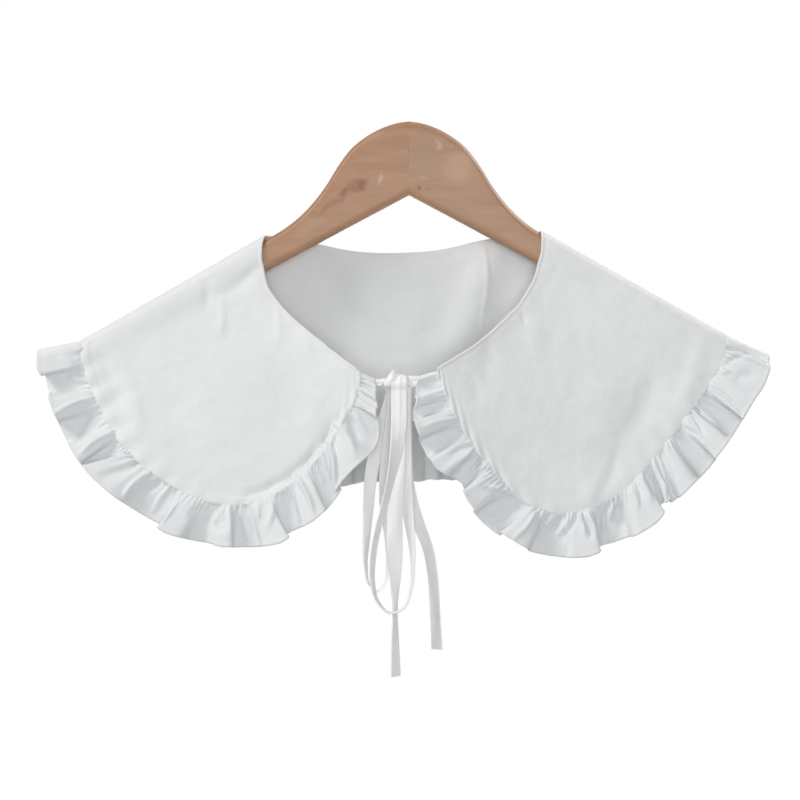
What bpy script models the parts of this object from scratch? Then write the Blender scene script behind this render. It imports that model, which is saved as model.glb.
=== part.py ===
"""A ruffled false collar tied with a bow, hanging on a flat wooden hanger.

X runs from the hanger's left arm to its right arm as seen from the front, the front faces -Y,
and Z is up. The origin is the top of the hanger's crown, where the real one is hung up.
Every size in the tables is in millimetres.
"""

import math

import bpy
import numpy as np

MM = 0.001

# Colours
LEFT_WOOD = (0.39, 0.20, 0.12)
RIGHT_WOOD = (0.40, 0.24, 0.155)
WHITE_COTTON = (0.84, 0.85, 0.86)
RIBBON_COTTON = (0.88, 0.86, 0.83)
WOOD_ROUGHNESS = 0.5
COTTON_ROUGHNESS = 0.9

# A surface shows an edge where it turns by more than this, in degrees
SHARP_ANGLE = 40

# Cloth walls, and the gaps at a seam and along a shoulder fold
PANEL_WALL = 1.2
RUFFLE_WALL = 1.0
TIE_WALL = 1.0
TIE_WIDTH = 9.5
SEAM_GAP = 0.75
FOLD_GAP = 0.3

# The hanger: two flat arms joined under the crown, each thinned to a round end
HANGER_THICKNESS = 12.0
HANGER_EDGE_RADIUS = 5.5
EDGE_SHARE = 0.92
HANGER_HALF_SPAN = 190.0
HANGER_END_RADIUS = 8.0
HANGER_END_THICKNESS_SHARE = 0.45
HANGER_END_TURNS = (0, 30, 55, 75)
HANGER_NOTCH = -45.9
HANGER_LOWER_SLOPE = 0.532
HANGER_CORNER_STEPS = 3
HANGER_STATIONS = (7, 17, 28, 37, 44, 52, 60, 71, 80, 88, 105, 130, 155)

# The cloth rolls over each arm on this radius, from a ridge line that the arm carries
ROLL_RADIUS = 7.25
ROLL_ANGLES = (0.0, 22.5, 45.0, 67.5)
RIDGE = {
    "left": {"at": 89.3, "height": -71.0, "slope": 0.575},
    "right": {"at": 81.5, "height": -68.05, "slope": 0.563},
}

# Upper edge of the hanger: distance from its middle, height
HANGER_TOP = (
    (0.0, 0.0),
    (7.0, -1.0),
    (17.0, -4.3),
    (28.0, -10.5),
    (37.0, -18.3),
    (44.0, -27.9),
    (52.0, -40.8),
    (60.0, -51.2),
    (71.0, -62.0),
    (80.0, -68.4),
    (86.0, -71.9),
    (120.0, -91.0),
    (190.0, -130.4),
)

# One row for each section across the cloth, from the shoulder to the front tip.
# neck, seam and hem are x and z of the neckline, of the ruffle's seam and of its hem;
# the last three numbers say how far each stands in front of the arm's side.
FRONT_LEFT = (
    ("shoulder", -91.1, -80.9, -202.7, -142.9, -228.5, -150.4, 0.0, 0.0, 0.0),
    ("arm", -89.9, -90.8, -200.3, -154.7, -226.9, -159.0, 0.0, 1.0, 2.0),
    ("outer high", -87.4, -102.0, -195.3, -167.7, -221.3, -173.9, 1.0, 3.0, 5.0),
    ("outer", -83.1, -109.4, -188.5, -180.7, -214.2, -188.2, 2.5, 5.0, 7.5),
    ("outer low", -77.5, -116.3, -180.4, -195.0, -204.0, -206.8, 4.5, 8.0, 11.0),
    ("round high", -71.3, -122.5, -166.8, -209.9, -188.5, -224.8, 7.0, 12.0, 15.0),
    ("round", -65.1, -128.0, -150.0, -222.3, -164.9, -243.4, 9.5, 15.0, 18.0),
    ("lowest outer", -58.9, -133.0, -129.6, -232.8, -138.9, -256.4, 12.0, 17.5, 20.5),
    ("lowest", -53.3, -137.3, -107.9, -237.2, -108.5, -262.0, 14.0, 19.0, 22.0),
    ("lowest inner", -48.4, -141.7, -87.4, -232.8, -78.7, -258.5, 16.0, 20.5, 24.0),
    ("inner round", -44.0, -144.8, -68.8, -221.7, -53.9, -244.6, 18.0, 22.0, 25.5),
    ("inner low", -40.3, -147.9, -52.1, -204.3, -34.1, -221.7, 19.5, 23.0, 26.5),
    ("inner", -36.6, -150.4, -39.7, -185.1, -19.2, -199.3, 21.0, 23.5, 27.0),
    ("inner high", -34.1, -152.2, -32.2, -171.4, -17.4, -180.1, 22.0, 23.5, 27.0),
    ("tip", -32.2, -153.1, -28.8, -158.4, -20.5, -160.3, 22.5, 23.0, 25.5),
)
FRONT_RIGHT = (
    ("shoulder", 81.8, -78.4, 196.3, -140.4, 222.0, -152.2, 0.0, 0.0, 0.0),
    ("arm", 80.0, -87.1, 193.4, -150.6, 218.2, -164.0, 0.0, 1.0, 2.0),
    ("outer high", 78.1, -94.6, 186.4, -162.3, 211.4, -174.5, 1.0, 3.0, 5.0),
    ("outer", 75.6, -100.8, 175.5, -177.0, 200.9, -191.9, 2.0, 5.0, 7.5),
    ("outer low", 71.9, -107.0, 163.1, -193.8, 186.6, -210.5, 4.0, 8.0, 11.0),
    ("round high", 67.6, -113.8, 149.4, -209.9, 169.9, -227.9, 6.0, 11.5, 14.5),
    ("round", 62.0, -119.4, 133.9, -226.6, 150.0, -247.7, 8.5, 14.5, 17.5),
    ("lowest outer", 55.8, -125.6, 115.3, -237.8, 124.0, -263.8, 11.0, 17.0, 20.0),
    ("lowest", 49.0, -131.8, 96.7, -242.4, 96.1, -268.8, 13.5, 19.0, 22.0),
    ("lowest inner", 42.2, -137.3, 79.4, -239.6, 70.7, -265.1, 15.5, 20.5, 24.0),
    ("inner round", 36.0, -141.7, 62.6, -229.7, 47.1, -248.9, 17.5, 22.0, 25.5),
    ("inner low", 29.8, -145.4, 47.1, -211.7, 29.1, -226.6, 19.0, 23.0, 26.5),
    ("inner", 24.8, -148.5, 33.5, -192.5, 12.4, -204.9, 20.5, 23.5, 27.0),
    ("inner high", 20.5, -151.0, 24.8, -175.8, 3.7, -185.1, 22.0, 23.5, 27.0),
    ("tip", 17.05, -153.5, 17.7, -159.7, 5.6, -165.9, 22.5, 23.0, 25.5),
)
# The same for the back, from the left shoulder round to the right one, standing behind the arms
BACK = (
    ("left shoulder", -77.5, -72.4, -202.4, -144.2, -227.8, -152.0, 0.0, 0.0, 0.0),
    ("left arm", -68.0, -74.0, -198.5, -158.0, -222.5, -169.0, 0.5, 1.5, 3.0),
    ("left outer", -55.2, -76.3, -186.0, -174.5, -205.0, -193.0, 1.5, 4.5, 8.0),
    ("left low", -44.0, -78.6, -163.0, -187.5, -175.0, -211.5, 3.0, 8.5, 12.5),
    ("left round", -32.9, -80.3, -128.0, -195.5, -134.0, -221.5, 4.0, 12.5, 16.5),
    ("left middle", -18.0, -81.2, -72.0, -199.5, -74.0, -226.5, 5.0, 16.5, 20.5),
    ("middle", 0.0, -80.9, 0.0, -196.5, 0.0, -223.5, 5.5, 19.0, 23.0),
    ("right middle", 17.0, -79.6, 68.0, -194.5, 70.0, -221.5, 5.0, 16.5, 20.5),
    ("right round", 31.0, -76.8, 124.0, -191.0, 131.0, -217.0, 4.0, 12.5, 16.5),
    ("right low", 43.0, -73.8, 156.0, -184.0, 169.0, -207.5, 3.0, 8.5, 12.5),
    ("right outer", 54.0, -72.0, 179.0, -171.5, 197.5, -190.5, 1.5, 4.5, 8.0),
    ("right arm", 65.0, -71.9, 191.5, -156.0, 215.0, -168.0, 0.5, 1.5, 3.0),
    ("right shoulder", 75.5, -72.4, 196.6, -142.0, 221.0, -153.0, 0.0, 0.0, 0.0),
)
# x of the neckline where it rolls over each arm, at each of ROLL_ANGLES
NECK_ROLL = {
    "front left": (-89.3, -89.6, -90.2, -90.8),
    "front right": (81.5, 81.7, 81.9, 82.0),
    "back left": (-89.3, -88.3, -85.8, -82.0),
    "back right": (81.5, 81.0, 80.0, 78.4),
}
SEAM_END = {"left": -202.0, "right": 196.5}
HEM_END = {"left": (-228.2, -142.9), "right": (221.3, -144.5)}

# Ruffle folds along the seam, from the shoulder: crest, next trough, how far the hem of each
# leans towards the tip, and how far the hem of each reaches past the even hem
FOLDS_LEFT = (
    (15.0, 30.0, 4.0, -7.0, 0.0, -3.0),
    (43.0, 55.0, 1.0, 0.0, 0.0, 0.0),
    (66.0, 74.0, 5.0, 1.5, 0.5, 0.0),
    (88.0, 117.0, -5.0, 4.0, 0.5, -3.0),
    (131.0, 146.0, -5.5, -1.0, 1.0, -1.5),
    (152.5, 161.0, 0.0, -0.5, 0.5, -0.5),
    (172.0, 188.0, 5.5, -5.0, 1.5, -4.0),
    (201.0, 219.0, -4.5, -10.0, -1.0, -3.0),
    (236.0, 253.0, -17.0, 4.0, -4.5, 0.0),
    (259.5, 264.5, 1.5, 0.0, 0.0, 0.0),
    (268.5, 271.5, 0.5, 0.0, 0.0, 0.0),
)
FOLDS_RIGHT = (
    (35.0, 49.0, 8.0, 1.0, -0.5, -0.5),
    (61.0, 75.0, 9.0, 2.0, -0.5, 0.0),
    (84.0, 93.0, 15.0, 13.0, 0.0, -2.0),
    (96.0, 100.0, 11.5, 11.0, -4.0, -6.0),
    (112.0, 138.0, 8.0, 6.5, 0.5, -5.0),
    (150.0, 169.0, 3.0, 2.0, 0.5, -2.0),
    (179.0, 189.0, 6.0, 9.5, -2.5, -1.0),
    (213.0, 229.0, 2.0, -6.5, -0.5, -5.5),
    (237.0, 248.0, 0.0, 1.0, 2.5, 1.0),
    (256.5, 265.5, 4.0, 3.0, 1.0, 0.5),
    (272.0, 277.5, 2.0, 1.0, 0.0, 0.0),
)
# Folds of the hidden back: their spacing, how unevenly crests and troughs fall, lean and reach,
# and how fast each of these changes from one fold to the next
BACK_FOLD_PITCH = 21.0
BACK_UNEVEN = 0.16
BACK_CREST_AT = 0.28
BACK_TROUGH_AT = 0.76
BACK_LEAN = 4.5
BACK_REACH = 1.5
BACK_UNEVEN_TURN = 2.4
BACK_RIPPLE_TURN = 5.1
BACK_LEAN_TURN = 1.7
BACK_LEAN_START = 0.6
BACK_REACH_TURN = 2.9

# A fold's height at the hem, less on a narrow strip and in a tight fold, and its share at the seam.
# A fold is drawn in at its root, and the cloth lies calm over the last few millimetres.
FOLD_HEIGHT = 6.4
FOLD_HEIGHT_PER_WIDTH = 0.23
FULL_HEIGHT_PITCH = 16.0
LOWEST_PITCH_SHARE = 0.35
FOLD_NARROWING = 0.09
SEAM_SHARE = 0.22
HEM_RISE = 0.85
CALM_END = 6.0

# Grid of a panel and of a ruffle, and how far to each side a direction along the cloth is read
PANEL_ROWS_ACROSS = 9
PANEL_STEP = 8.5
FOLD_STEPS = 8
RUFFLE_ACROSS = (0.0, 0.22, 0.48, 0.75, 1.0)
ALONG_STEP = 0.5

# The bow: its knot, and the route of each stretch of tie as x, y, z and the turn of its width,
# 0 where it faces the front and 90 where it is edge-on
KNOT_CENTRE = (-6.8, -28.0, -161.0)
KNOT_HALF = (7.4, 5.0, 5.2)
KNOT_SQUARENESS = 4.0
KNOT_AROUND = 20
KNOT_UP = 12
LEVEL_RUN = 0.35
TIE_STEP = 5.0
TIE_ROUTES = {
    "tie_left_span": (
        (-31.0, -28.2, -155.6, 0.0),
        (-26.0, -27.7, -156.8, 0.0),
        (-20.5, -27.4, -159.4, 0.0),
        (-14.7, -27.6, -160.6, 0.0),
    ),
    "tie_left_loop": (
        (-9.2, -24.25, -166.4, 0.0),
        (-11.0, -23.2, -174.0, 5.0),
        (-15.0, -21.8, -186.0, 15.0),
        (-19.5, -21.2, -200.0, 25.0),
        (-23.2, -22.0, -218.0, 35.0),
        (-24.8, -22.0, -238.0, 50.0),
        (-26.2, -22.0, -258.0, 65.0),
        (-26.6, -22.0, -274.0, 80.0),
        (-24.4, -22.0, -285.5, 88.0),
        (-19.6, -22.0, -290.0, 90.0),
        (-14.9, -22.0, -285.5, 92.0),
        (-13.0, -22.3, -274.0, 100.0),
        (-13.4, -22.8, -256.0, 110.0),
        (-15.2, -23.4, -238.0, 125.0),
        (-14.2, -23.4, -218.0, 145.0),
        (-11.4, -24.0, -196.0, 168.0),
        (-9.2, -24.9, -178.0, 178.0),
        (-8.4, -25.75, -166.5, 180.0),
    ),
    "tie_left_tail": (
        (-6.4, -30.25, -166.6, 0.0),
        (-6.4, -30.3, -182.0, 0.0),
        (-6.8, -30.3, -205.0, -4.0),
        (-7.6, -30.3, -225.0, -6.0),
        (-8.6, -30.2, -242.0, -8.0),
        (-8.6, -29.8, -260.0, 0.0),
        (-8.4, -29.0, -280.0, 40.0),
        (-8.6, -28.0, -300.0, 68.0),
        (-8.6, -27.6, -318.0, 52.0),
        (-8.2, -27.2, -341.2, 35.0),
    ),
    "tie_right_span": (
        (18.6, -28.2, -156.4, 0.0),
        (12.5, -27.7, -157.2, 0.0),
        (6.5, -27.4, -159.2, 0.0),
        (1.1, -27.6, -160.4, 0.0),
    ),
    "tie_right_loop": (
        (-6.2, -31.75, -166.3, 0.0),
        (-6.2, -33.0, -176.0, 0.0),
        (-6.4, -34.6, -190.0, 12.0),
        (-7.8, -36.2, -204.0, 35.0),
        (-10.8, -37.4, -219.0, 58.0),
        (-14.6, -38.0, -235.0, 66.0),
        (-19.0, -38.0, -251.0, 68.0),
        (-22.0, -38.0, -268.0, 70.0),
        (-22.4, -38.0, -282.0, 75.0),
        (-19.2, -38.0, -294.5, 83.0),
        (-12.0, -38.0, -301.6, 90.0),
        (-3.6, -37.6, -298.6, 92.0),
        (1.0, -36.6, -288.0, 96.0),
        (2.2, -35.2, -274.0, 102.0),
        (1.4, -33.0, -258.0, 115.0),
        (-0.8, -30.6, -241.0, 135.0),
        (-2.6, -29.2, -222.0, 158.0),
        (-3.4, -28.8, -202.0, 172.0),
        (-3.8, -28.75, -184.0, 178.0),
        (-4.4, -28.75, -166.7, 180.0),
    ),
    "tie_right_tail": (
        (-3.4, -27.25, -166.7, 0.0),
        (-3.2, -27.2, -184.0, -2.0),
        (-3.0, -27.1, -202.0, -6.0),
        (-1.6, -26.4, -222.0, -20.0),
        (1.6, -25.0, -236.0, -32.0),
        (6.4, -24.4, -250.0, -40.0),
        (11.6, -24.0, -264.0, -42.0),
        (14.4, -24.0, -280.0, -40.0),
        (15.8, -24.0, -302.0, -36.0),
        (17.0, -24.0, -325.0, -30.0),
    ),
}


def clear_scene():
    for old in list(bpy.data.objects):
        bpy.data.objects.remove(old, do_unlink=True)


def principled(name, colour, roughness):
    material = bpy.data.materials.new(name)
    material.use_nodes = True
    surface = material.node_tree.nodes["Principled BSDF"]
    surface.inputs["Base Color"].default_value = (*colour, 1.0)
    surface.inputs["Roughness"].default_value = roughness
    surface.inputs["Metallic"].default_value = 0.0
    return material


def signed_volume(points, faces):
    total = 0.0
    for face in faces:
        for i in range(1, len(face) - 1):
            total += np.dot(points[face[0]], np.cross(points[face[i]], points[face[i + 1]]))
    return total / 6


def add_object(name, points, faces, colour, roughness):
    """A closed mesh, turned to face outward. points are in millimetres."""
    points = np.asarray(points, float)
    if signed_volume(points, faces) < 0:
        faces = [face[::-1] for face in faces]
    mesh = bpy.data.meshes.new(name)
    mesh.from_pydata([tuple(point) for point in points * MM], [], faces)
    mesh.shade_smooth()
    mesh.set_sharp_from_angle(angle=math.radians(SHARP_ANGLE))
    mesh.materials.append(principled(name, colour, roughness))
    thing = bpy.data.objects.new(name, mesh)
    bpy.context.scene.collection.objects.link(thing)


def smooth_curve(knots, values, at):
    """Cubic Hermite curve through values at knots, read at each of at."""
    knots = np.asarray(knots, float)
    values = np.asarray(values, float)
    at = np.clip(np.asarray(at, float), knots[0], knots[-1])
    steps = np.diff(knots)
    slopes = np.diff(values, axis=0) / steps[:, None]
    tangents = np.empty_like(values)
    tangents[0] = slopes[0]
    tangents[-1] = slopes[-1]
    before = steps[:-1, None]
    after = steps[1:, None]
    tangents[1:-1] = (slopes[:-1] * after + slopes[1:] * before) / (before + after)
    span = np.clip(np.searchsorted(knots, at, side="right") - 1, 0, len(steps) - 1)
    width = steps[span][:, None]
    t = ((at - knots[span]) / steps[span])[:, None]
    start = (2 * t**3 - 3 * t**2 + 1) * values[span] + (t**3 - 2 * t**2 + t) * width * tangents[span]
    end = (3 * t**2 - 2 * t**3) * values[span + 1] + (t**3 - t**2) * width * tangents[span + 1]
    return start + end


def arc_lengths(points):
    points = np.asarray(points, float)
    return np.concatenate([[0.0], np.cumsum(np.linalg.norm(np.diff(points, axis=0), axis=1))])


def unit(vectors):
    return vectors / np.maximum(np.linalg.norm(vectors, axis=-1, keepdims=True), 1e-9)


def wall_from_grid(grid, thickness):
    """A closed wall of even thickness about a grid of points, level where it meets the shoulder fold."""
    rows, columns = grid.shape[:2]
    normals = unit(np.cross(np.gradient(grid, axis=0), np.gradient(grid, axis=1)))
    on_ridge = np.abs(grid[..., 1]) < FOLD_GAP
    normals[on_ridge, 1] = 0.0
    offset = unit(normals) * thickness / 2
    points = np.concatenate([(grid + offset).reshape(-1, 3), (grid - offset).reshape(-1, 3)])
    back = rows * columns
    faces = []
    for i in range(rows - 1):
        for j in range(columns - 1):
            a = i * columns + j
            b = a + columns
            faces.append((a, b, b + 1, a + 1))
            faces.append((back + a, back + a + 1, back + b + 1, back + b))
    rim = [i * columns for i in range(rows)]
    rim += [(rows - 1) * columns + j for j in range(1, columns)]
    rim += [i * columns + columns - 1 for i in range(rows - 2, -1, -1)]
    rim += [j for j in range(columns - 2, 0, -1)]
    for here, after in zip(rim, rim[1:] + rim[:1]):
        faces.append((here, back + here, back + after, after))
    return points, faces


def ridge_height(side, x):
    ridge = RIDGE[side]
    return ridge["height"] - ridge["slope"] * (abs(x) - ridge["at"])


def rolled_rows(side, neck_xs, facing, hem_at_side):
    """Neck, seam and hem points where the cloth rolls over an arm, from its ridge down."""
    hem_end_x, hem_end_z = HEM_END[side]
    seam_x = SEAM_END[side]
    start = facing * FOLD_GAP / 2
    rows = []
    for angle, neck_x in zip(ROLL_ANGLES, neck_xs):
        turn = math.radians(angle)
        share = 1 - math.cos(turn)
        out = start + facing * ROLL_RADIUS * math.sin(turn)
        neck = (neck_x, out, ridge_height(side, neck_x) - ROLL_RADIUS * share)
        seam = (seam_x, out, ridge_height(side, seam_x) - ROLL_RADIUS * share)
        hem = (
            hem_end_x + (hem_at_side[0] - hem_end_x) * share,
            start + (hem_at_side[1] - start) * math.sin(turn),
            hem_end_z + (hem_at_side[2] - hem_end_z) * share,
        )
        rows.append((neck, seam, hem))
    return rows


def section_points(row, facing):
    _, neck_x, neck_z, seam_x, seam_z, hem_x, hem_z, neck_out, seam_out, hem_out = row
    side_of_arm = FOLD_GAP / 2 + ROLL_RADIUS
    return (
        (neck_x, facing * (side_of_arm + neck_out), neck_z),
        (seam_x, facing * (side_of_arm + seam_out), seam_z),
        (hem_x, facing * (side_of_arm + hem_out), hem_z),
    )


def front_sections(side, table):
    rows = [section_points(row, -1) for row in table]
    return np.array(rolled_rows(side, NECK_ROLL["front " + side], -1, rows[0][2]) + rows)


def back_sections():
    rows = [section_points(row, 1) for row in BACK]
    left = rolled_rows("left", NECK_ROLL["back left"], 1, rows[0][2])
    right = rolled_rows("right", NECK_ROLL["back right"], 1, rows[-1][2])
    return np.array(left + rows + right[::-1])


class ClothStrip:
    """Neck, seam and hem curves over the distance along the seam."""

    def __init__(self, sections, rolls_at_end):
        self.sections = sections
        self.rolls_at_end = rolls_at_end
        self.knots = arc_lengths(sections[:, 1])
        self.length = self.knots[-1]

    def curves(self, at):
        flat = self.sections.reshape(len(self.sections), 9)
        return smooth_curve(self.knots, flat, at).reshape(-1, 3, 3)


def panel_stations(strip):
    """Distances along the seam: each rolled section, and even steps between them."""
    rolled = len(ROLL_ANGLES)
    head = list(strip.knots[:rolled])
    tail = list(strip.knots[-rolled:]) if strip.rolls_at_end else []
    first = strip.knots[rolled]
    last = strip.knots[-1 - rolled] if strip.rolls_at_end else strip.length
    count = round((last - first) / PANEL_STEP)
    return np.array(head + list(np.linspace(first, last, count + 1)) + tail)


def panel_grid(strip):
    across = np.linspace(0, 1, PANEL_ROWS_ACROSS + 1)
    curves = strip.curves(panel_stations(strip))
    neck = curves[:, 0][:, None]
    seam = curves[:, 1][:, None]
    return neck + (seam - neck) * across[None, :, None]


def fold_table(strip, folds):
    """Columns of place, phase, lean and reach. A crest is a quarter turn of phase, a trough three."""
    rows = [(0.0, 0.0, 0.0, 0.0)]
    for number, fold in enumerate(folds):
        crest, trough, crest_lean, trough_lean, crest_reach, trough_reach = fold
        rows.append((crest, number + 0.25, crest_lean, crest_reach))
        rows.append((trough, number + 0.75, trough_lean, trough_reach))
    rows.append((strip.length, float(len(folds)), 0.0, 0.0))
    return np.array(rows).T


def back_folds(length):
    count = round(length / BACK_FOLD_PITCH)
    folds = []
    for number in range(count):
        ripple = math.sin(BACK_UNEVEN_TURN * number)
        uneven = BACK_UNEVEN * (ripple + math.sin(BACK_RIPPLE_TURN * number + 1.0) / 2)
        crest = (number + BACK_CREST_AT + uneven / 2) * length / count
        trough = (number + BACK_TROUGH_AT + uneven / 2) * length / count
        at_end = number in (0, count - 1)
        lean = 0.0 if at_end else BACK_LEAN * math.sin(BACK_LEAN_TURN * number + BACK_LEAN_START)
        reach = BACK_REACH + math.sin(BACK_REACH_TURN * number)
        folds.append((crest, trough, lean, -lean, reach, -reach))
    return folds


def fold_heights(curves, pitch):
    """Height of the folds at the hem, none where the strip starts over the arm."""
    width = np.linalg.norm(curves[:, 2] - curves[:, 1], axis=1)
    height = np.minimum(FOLD_HEIGHT, FOLD_HEIGHT_PER_WIDTH * width)
    off_ridge = np.minimum(1.0, np.abs(curves[:, 1, 1]) / (ROLL_RADIUS + 1.0))
    return height * off_ridge * np.clip(pitch / FULL_HEIGHT_PITCH, LOWEST_PITCH_SHARE, 1.0)


def calm_ends(place, length):
    """0 at both ends of a strip, rising to 1 within CALM_END."""
    rise = np.clip(np.minimum(place, length - place) / CALM_END, 0, 1)
    return np.sin(rise * math.pi / 2)


def outward_facing(seam, hem, before, after, share):
    """Unit vectors out of the cloth, away from the arm."""
    along = (after[:, 1] - before[:, 1]) * (1 - share) + (after[:, 2] - before[:, 2]) * share
    facing = unit(np.cross(unit(hem - seam), unit(along)))
    wrong_way = facing[:, 1] * seam[:, 1] < 0
    return np.where(wrong_way[:, None], -facing, facing)


def ruffle_grid(strip, folds):
    places, phases, leans, reaches = fold_table(strip, folds)
    phase = np.linspace(0, len(folds), len(folds) * FOLD_STEPS + 1)
    place = np.interp(phase, phases, places)
    lean = np.interp(phase, phases, leans)
    reach = np.interp(phase, phases, reaches)
    pitch = np.interp(phase, phases[:-1], np.diff(places)) * 2
    wave = np.sin(2 * math.pi * phase)
    height = fold_heights(strip.curves(place), pitch)
    sideways = lean - FOLD_NARROWING * pitch * np.sin(4 * math.pi * phase)
    sideways = sideways * calm_ends(place, strip.length)
    columns = []
    for share in RUFFLE_ACROSS:
        rise = share**HEM_RISE
        moved = np.clip(place + sideways * rise, 0, strip.length)
        seam = strip.curves(moved)[:, 1]
        hem = strip.curves(moved)[:, 2]
        down = unit(hem - seam)
        start = seam + down * SEAM_GAP
        base = start + (hem - start) * share + down * (reach * share**2)[:, None]
        before = strip.curves(moved - ALONG_STEP)
        after = strip.curves(moved + ALONG_STEP)
        facing = outward_facing(seam, hem, before, after, share)
        lift = height * (SEAM_SHARE + (1 - SEAM_SHARE) * rise) * wave
        columns.append(base + facing * lift[:, None])
    return np.stack(columns, axis=1)


def make_cloth():
    left = ClothStrip(front_sections("left", FRONT_LEFT), rolls_at_end=False)
    right = ClothStrip(front_sections("right", FRONT_RIGHT), rolls_at_end=False)
    back = ClothStrip(back_sections(), rolls_at_end=True)
    for name, strip, folds in (
        ("front_left", left, FOLDS_LEFT),
        ("front_right", right, FOLDS_RIGHT),
        ("back", back, back_folds(back.length)),
    ):
        panel = wall_from_grid(panel_grid(strip), PANEL_WALL)
        ruffle = wall_from_grid(ruffle_grid(strip, folds), RUFFLE_WALL)
        add_object("collar_" + name, *panel, WHITE_COTTON, COTTON_ROUGHNESS)
        add_object("ruffle_" + name, *ruffle, WHITE_COTTON, COTTON_ROUGHNESS)


def rounded_section(half_width, half_height, radius):
    """Corners of a rounded rectangle, as y and z about its middle, seen along +X."""
    points = []
    for corner, (side_y, side_z) in enumerate(((1, 1), (-1, 1), (-1, -1), (1, -1))):
        for step in range(HANGER_CORNER_STEPS + 1):
            turn = math.radians(90 * (corner + step / HANGER_CORNER_STEPS))
            y = side_y * (half_width - radius) + radius * math.cos(turn)
            z = side_z * (half_height - radius) + radius * math.sin(turn)
            points.append((y, z))
    return points


def loft(sections):
    """Points and faces of a closed body through rings of points, one after another."""
    around = len(sections[0])
    faces = [tuple(range(around))]
    for i in range(len(sections) - 1):
        for j in range(around):
            a = i * around + j
            b = i * around + (j + 1) % around
            faces.append((a, a + around, b + around, b))
    last = (len(sections) - 1) * around
    faces.append(tuple(last + j for j in reversed(range(around))))
    return np.concatenate(sections), faces


def make_hanger_half(name, side, colour):
    top_x, top_z = np.array(HANGER_TOP).T
    last = HANGER_HALF_SPAN - HANGER_END_RADIUS
    ends = [last + HANGER_END_RADIUS * math.sin(math.radians(turn)) for turn in HANGER_END_TURNS]
    stations = [FOLD_GAP / 2, *HANGER_STATIONS, *ends]
    heights = smooth_curve(top_x, top_z[:, None], stations)[:, 0]
    sections = []
    for x, top in zip(stations, heights):
        bottom = HANGER_NOTCH - HANGER_LOWER_SLOPE * x
        past = max(0.0, (x - last) / HANGER_END_RADIUS)
        shrink = math.sqrt(1 - past**2)
        thin = HANGER_END_THICKNESS_SHARE
        half_height = (top - bottom) / 2 * shrink
        half_width = HANGER_THICKNESS / 2 * (thin + (1 - thin) * shrink)
        radius = min(HANGER_EDGE_RADIUS, half_height * EDGE_SHARE, half_width * EDGE_SHARE)
        middle = (top + bottom) / 2
        ring = rounded_section(half_width, half_height, radius)
        sections.append([(side * x, y, middle + z) for y, z in ring])
    add_object(name, *loft(sections), colour, WOOD_ROUGHNESS)


def tie_frames(route):
    """Evenly spaced centres along a route, with the directions of the width and of the wall."""
    route = np.array(route)
    knots = arc_lengths(route[:, :3])
    at = np.linspace(0, knots[-1], round(knots[-1] / TIE_STEP) + 1)
    read = smooth_curve(knots, route, at)
    centres = read[:, :3]
    turns = np.radians(read[:, 3])
    along = unit(np.gradient(centres, axis=0))
    wide = np.stack([np.cos(turns), np.sin(turns), np.zeros_like(turns)], axis=1)
    if np.all(np.abs(along[:, 2]) < LEVEL_RUN):
        wide = np.tile([0.0, 0.0, 1.0], (len(turns), 1))
    wide = unit(wide - along * np.sum(wide * along, axis=1, keepdims=True))
    return centres, wide, unit(np.cross(along, wide))


def make_tie(name, route):
    sections = []
    for centre, wide, through in zip(*tie_frames(route)):
        side = wide * TIE_WIDTH / 2
        out = through * TIE_WALL / 2
        corners = (side + out, out - side, -side - out, side - out)
        sections.append([centre + corner for corner in corners])
    add_object(name, *loft(sections), RIBBON_COTTON, COTTON_ROUGHNESS)


def make_knot():
    """A rounded block, squarer than a ball, that the ties run into."""
    sections = []
    for level in range(1, KNOT_UP):
        polar = math.pi * level / KNOT_UP
        turns = np.linspace(0, 2 * math.pi, KNOT_AROUND, endpoint=False)
        level_z = np.full(KNOT_AROUND, math.cos(polar))
        ring = np.stack([math.sin(polar) * np.cos(turns), math.sin(polar) * np.sin(turns), level_z], axis=1)
        reach = np.sum(np.abs(ring) ** KNOT_SQUARENESS, axis=1) ** (1 / KNOT_SQUARENESS)
        sections.append(ring / reach[:, None] * KNOT_HALF + KNOT_CENTRE)
    add_object("bow_knot", *loft(sections), RIBBON_COTTON, COTTON_ROUGHNESS)


def main():
    clear_scene()
    make_hanger_half("hanger_left", -1, LEFT_WOOD)
    make_hanger_half("hanger_right", 1, RIGHT_WOOD)
    make_cloth()
    for name, route in TIE_ROUTES.items():
        make_tie(name, route)
    make_knot()


main()
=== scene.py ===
"""Looks of a ruffled false collar tied with a bow, hanging on a flat wooden hanger.

X runs from the hanger's left arm to its right arm as seen from the front, the front faces -Y,
and Z is up. Tables are in millimetres, with the same sections, folds and tie routes as the part.
"""

import math

import bpy
import numpy as np
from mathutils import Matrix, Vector


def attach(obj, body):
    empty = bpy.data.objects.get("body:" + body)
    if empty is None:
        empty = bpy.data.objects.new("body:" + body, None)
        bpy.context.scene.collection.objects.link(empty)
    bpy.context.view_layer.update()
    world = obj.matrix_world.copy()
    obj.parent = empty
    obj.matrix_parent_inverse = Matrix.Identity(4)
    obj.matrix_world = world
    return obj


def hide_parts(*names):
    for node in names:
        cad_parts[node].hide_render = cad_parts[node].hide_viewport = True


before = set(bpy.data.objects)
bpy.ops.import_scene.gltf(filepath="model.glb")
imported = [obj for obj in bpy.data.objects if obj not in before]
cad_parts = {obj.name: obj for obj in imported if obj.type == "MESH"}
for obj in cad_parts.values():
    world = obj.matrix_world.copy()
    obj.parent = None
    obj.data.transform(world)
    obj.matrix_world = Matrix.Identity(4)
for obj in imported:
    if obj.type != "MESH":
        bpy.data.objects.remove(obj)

MM = 0.001

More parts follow.
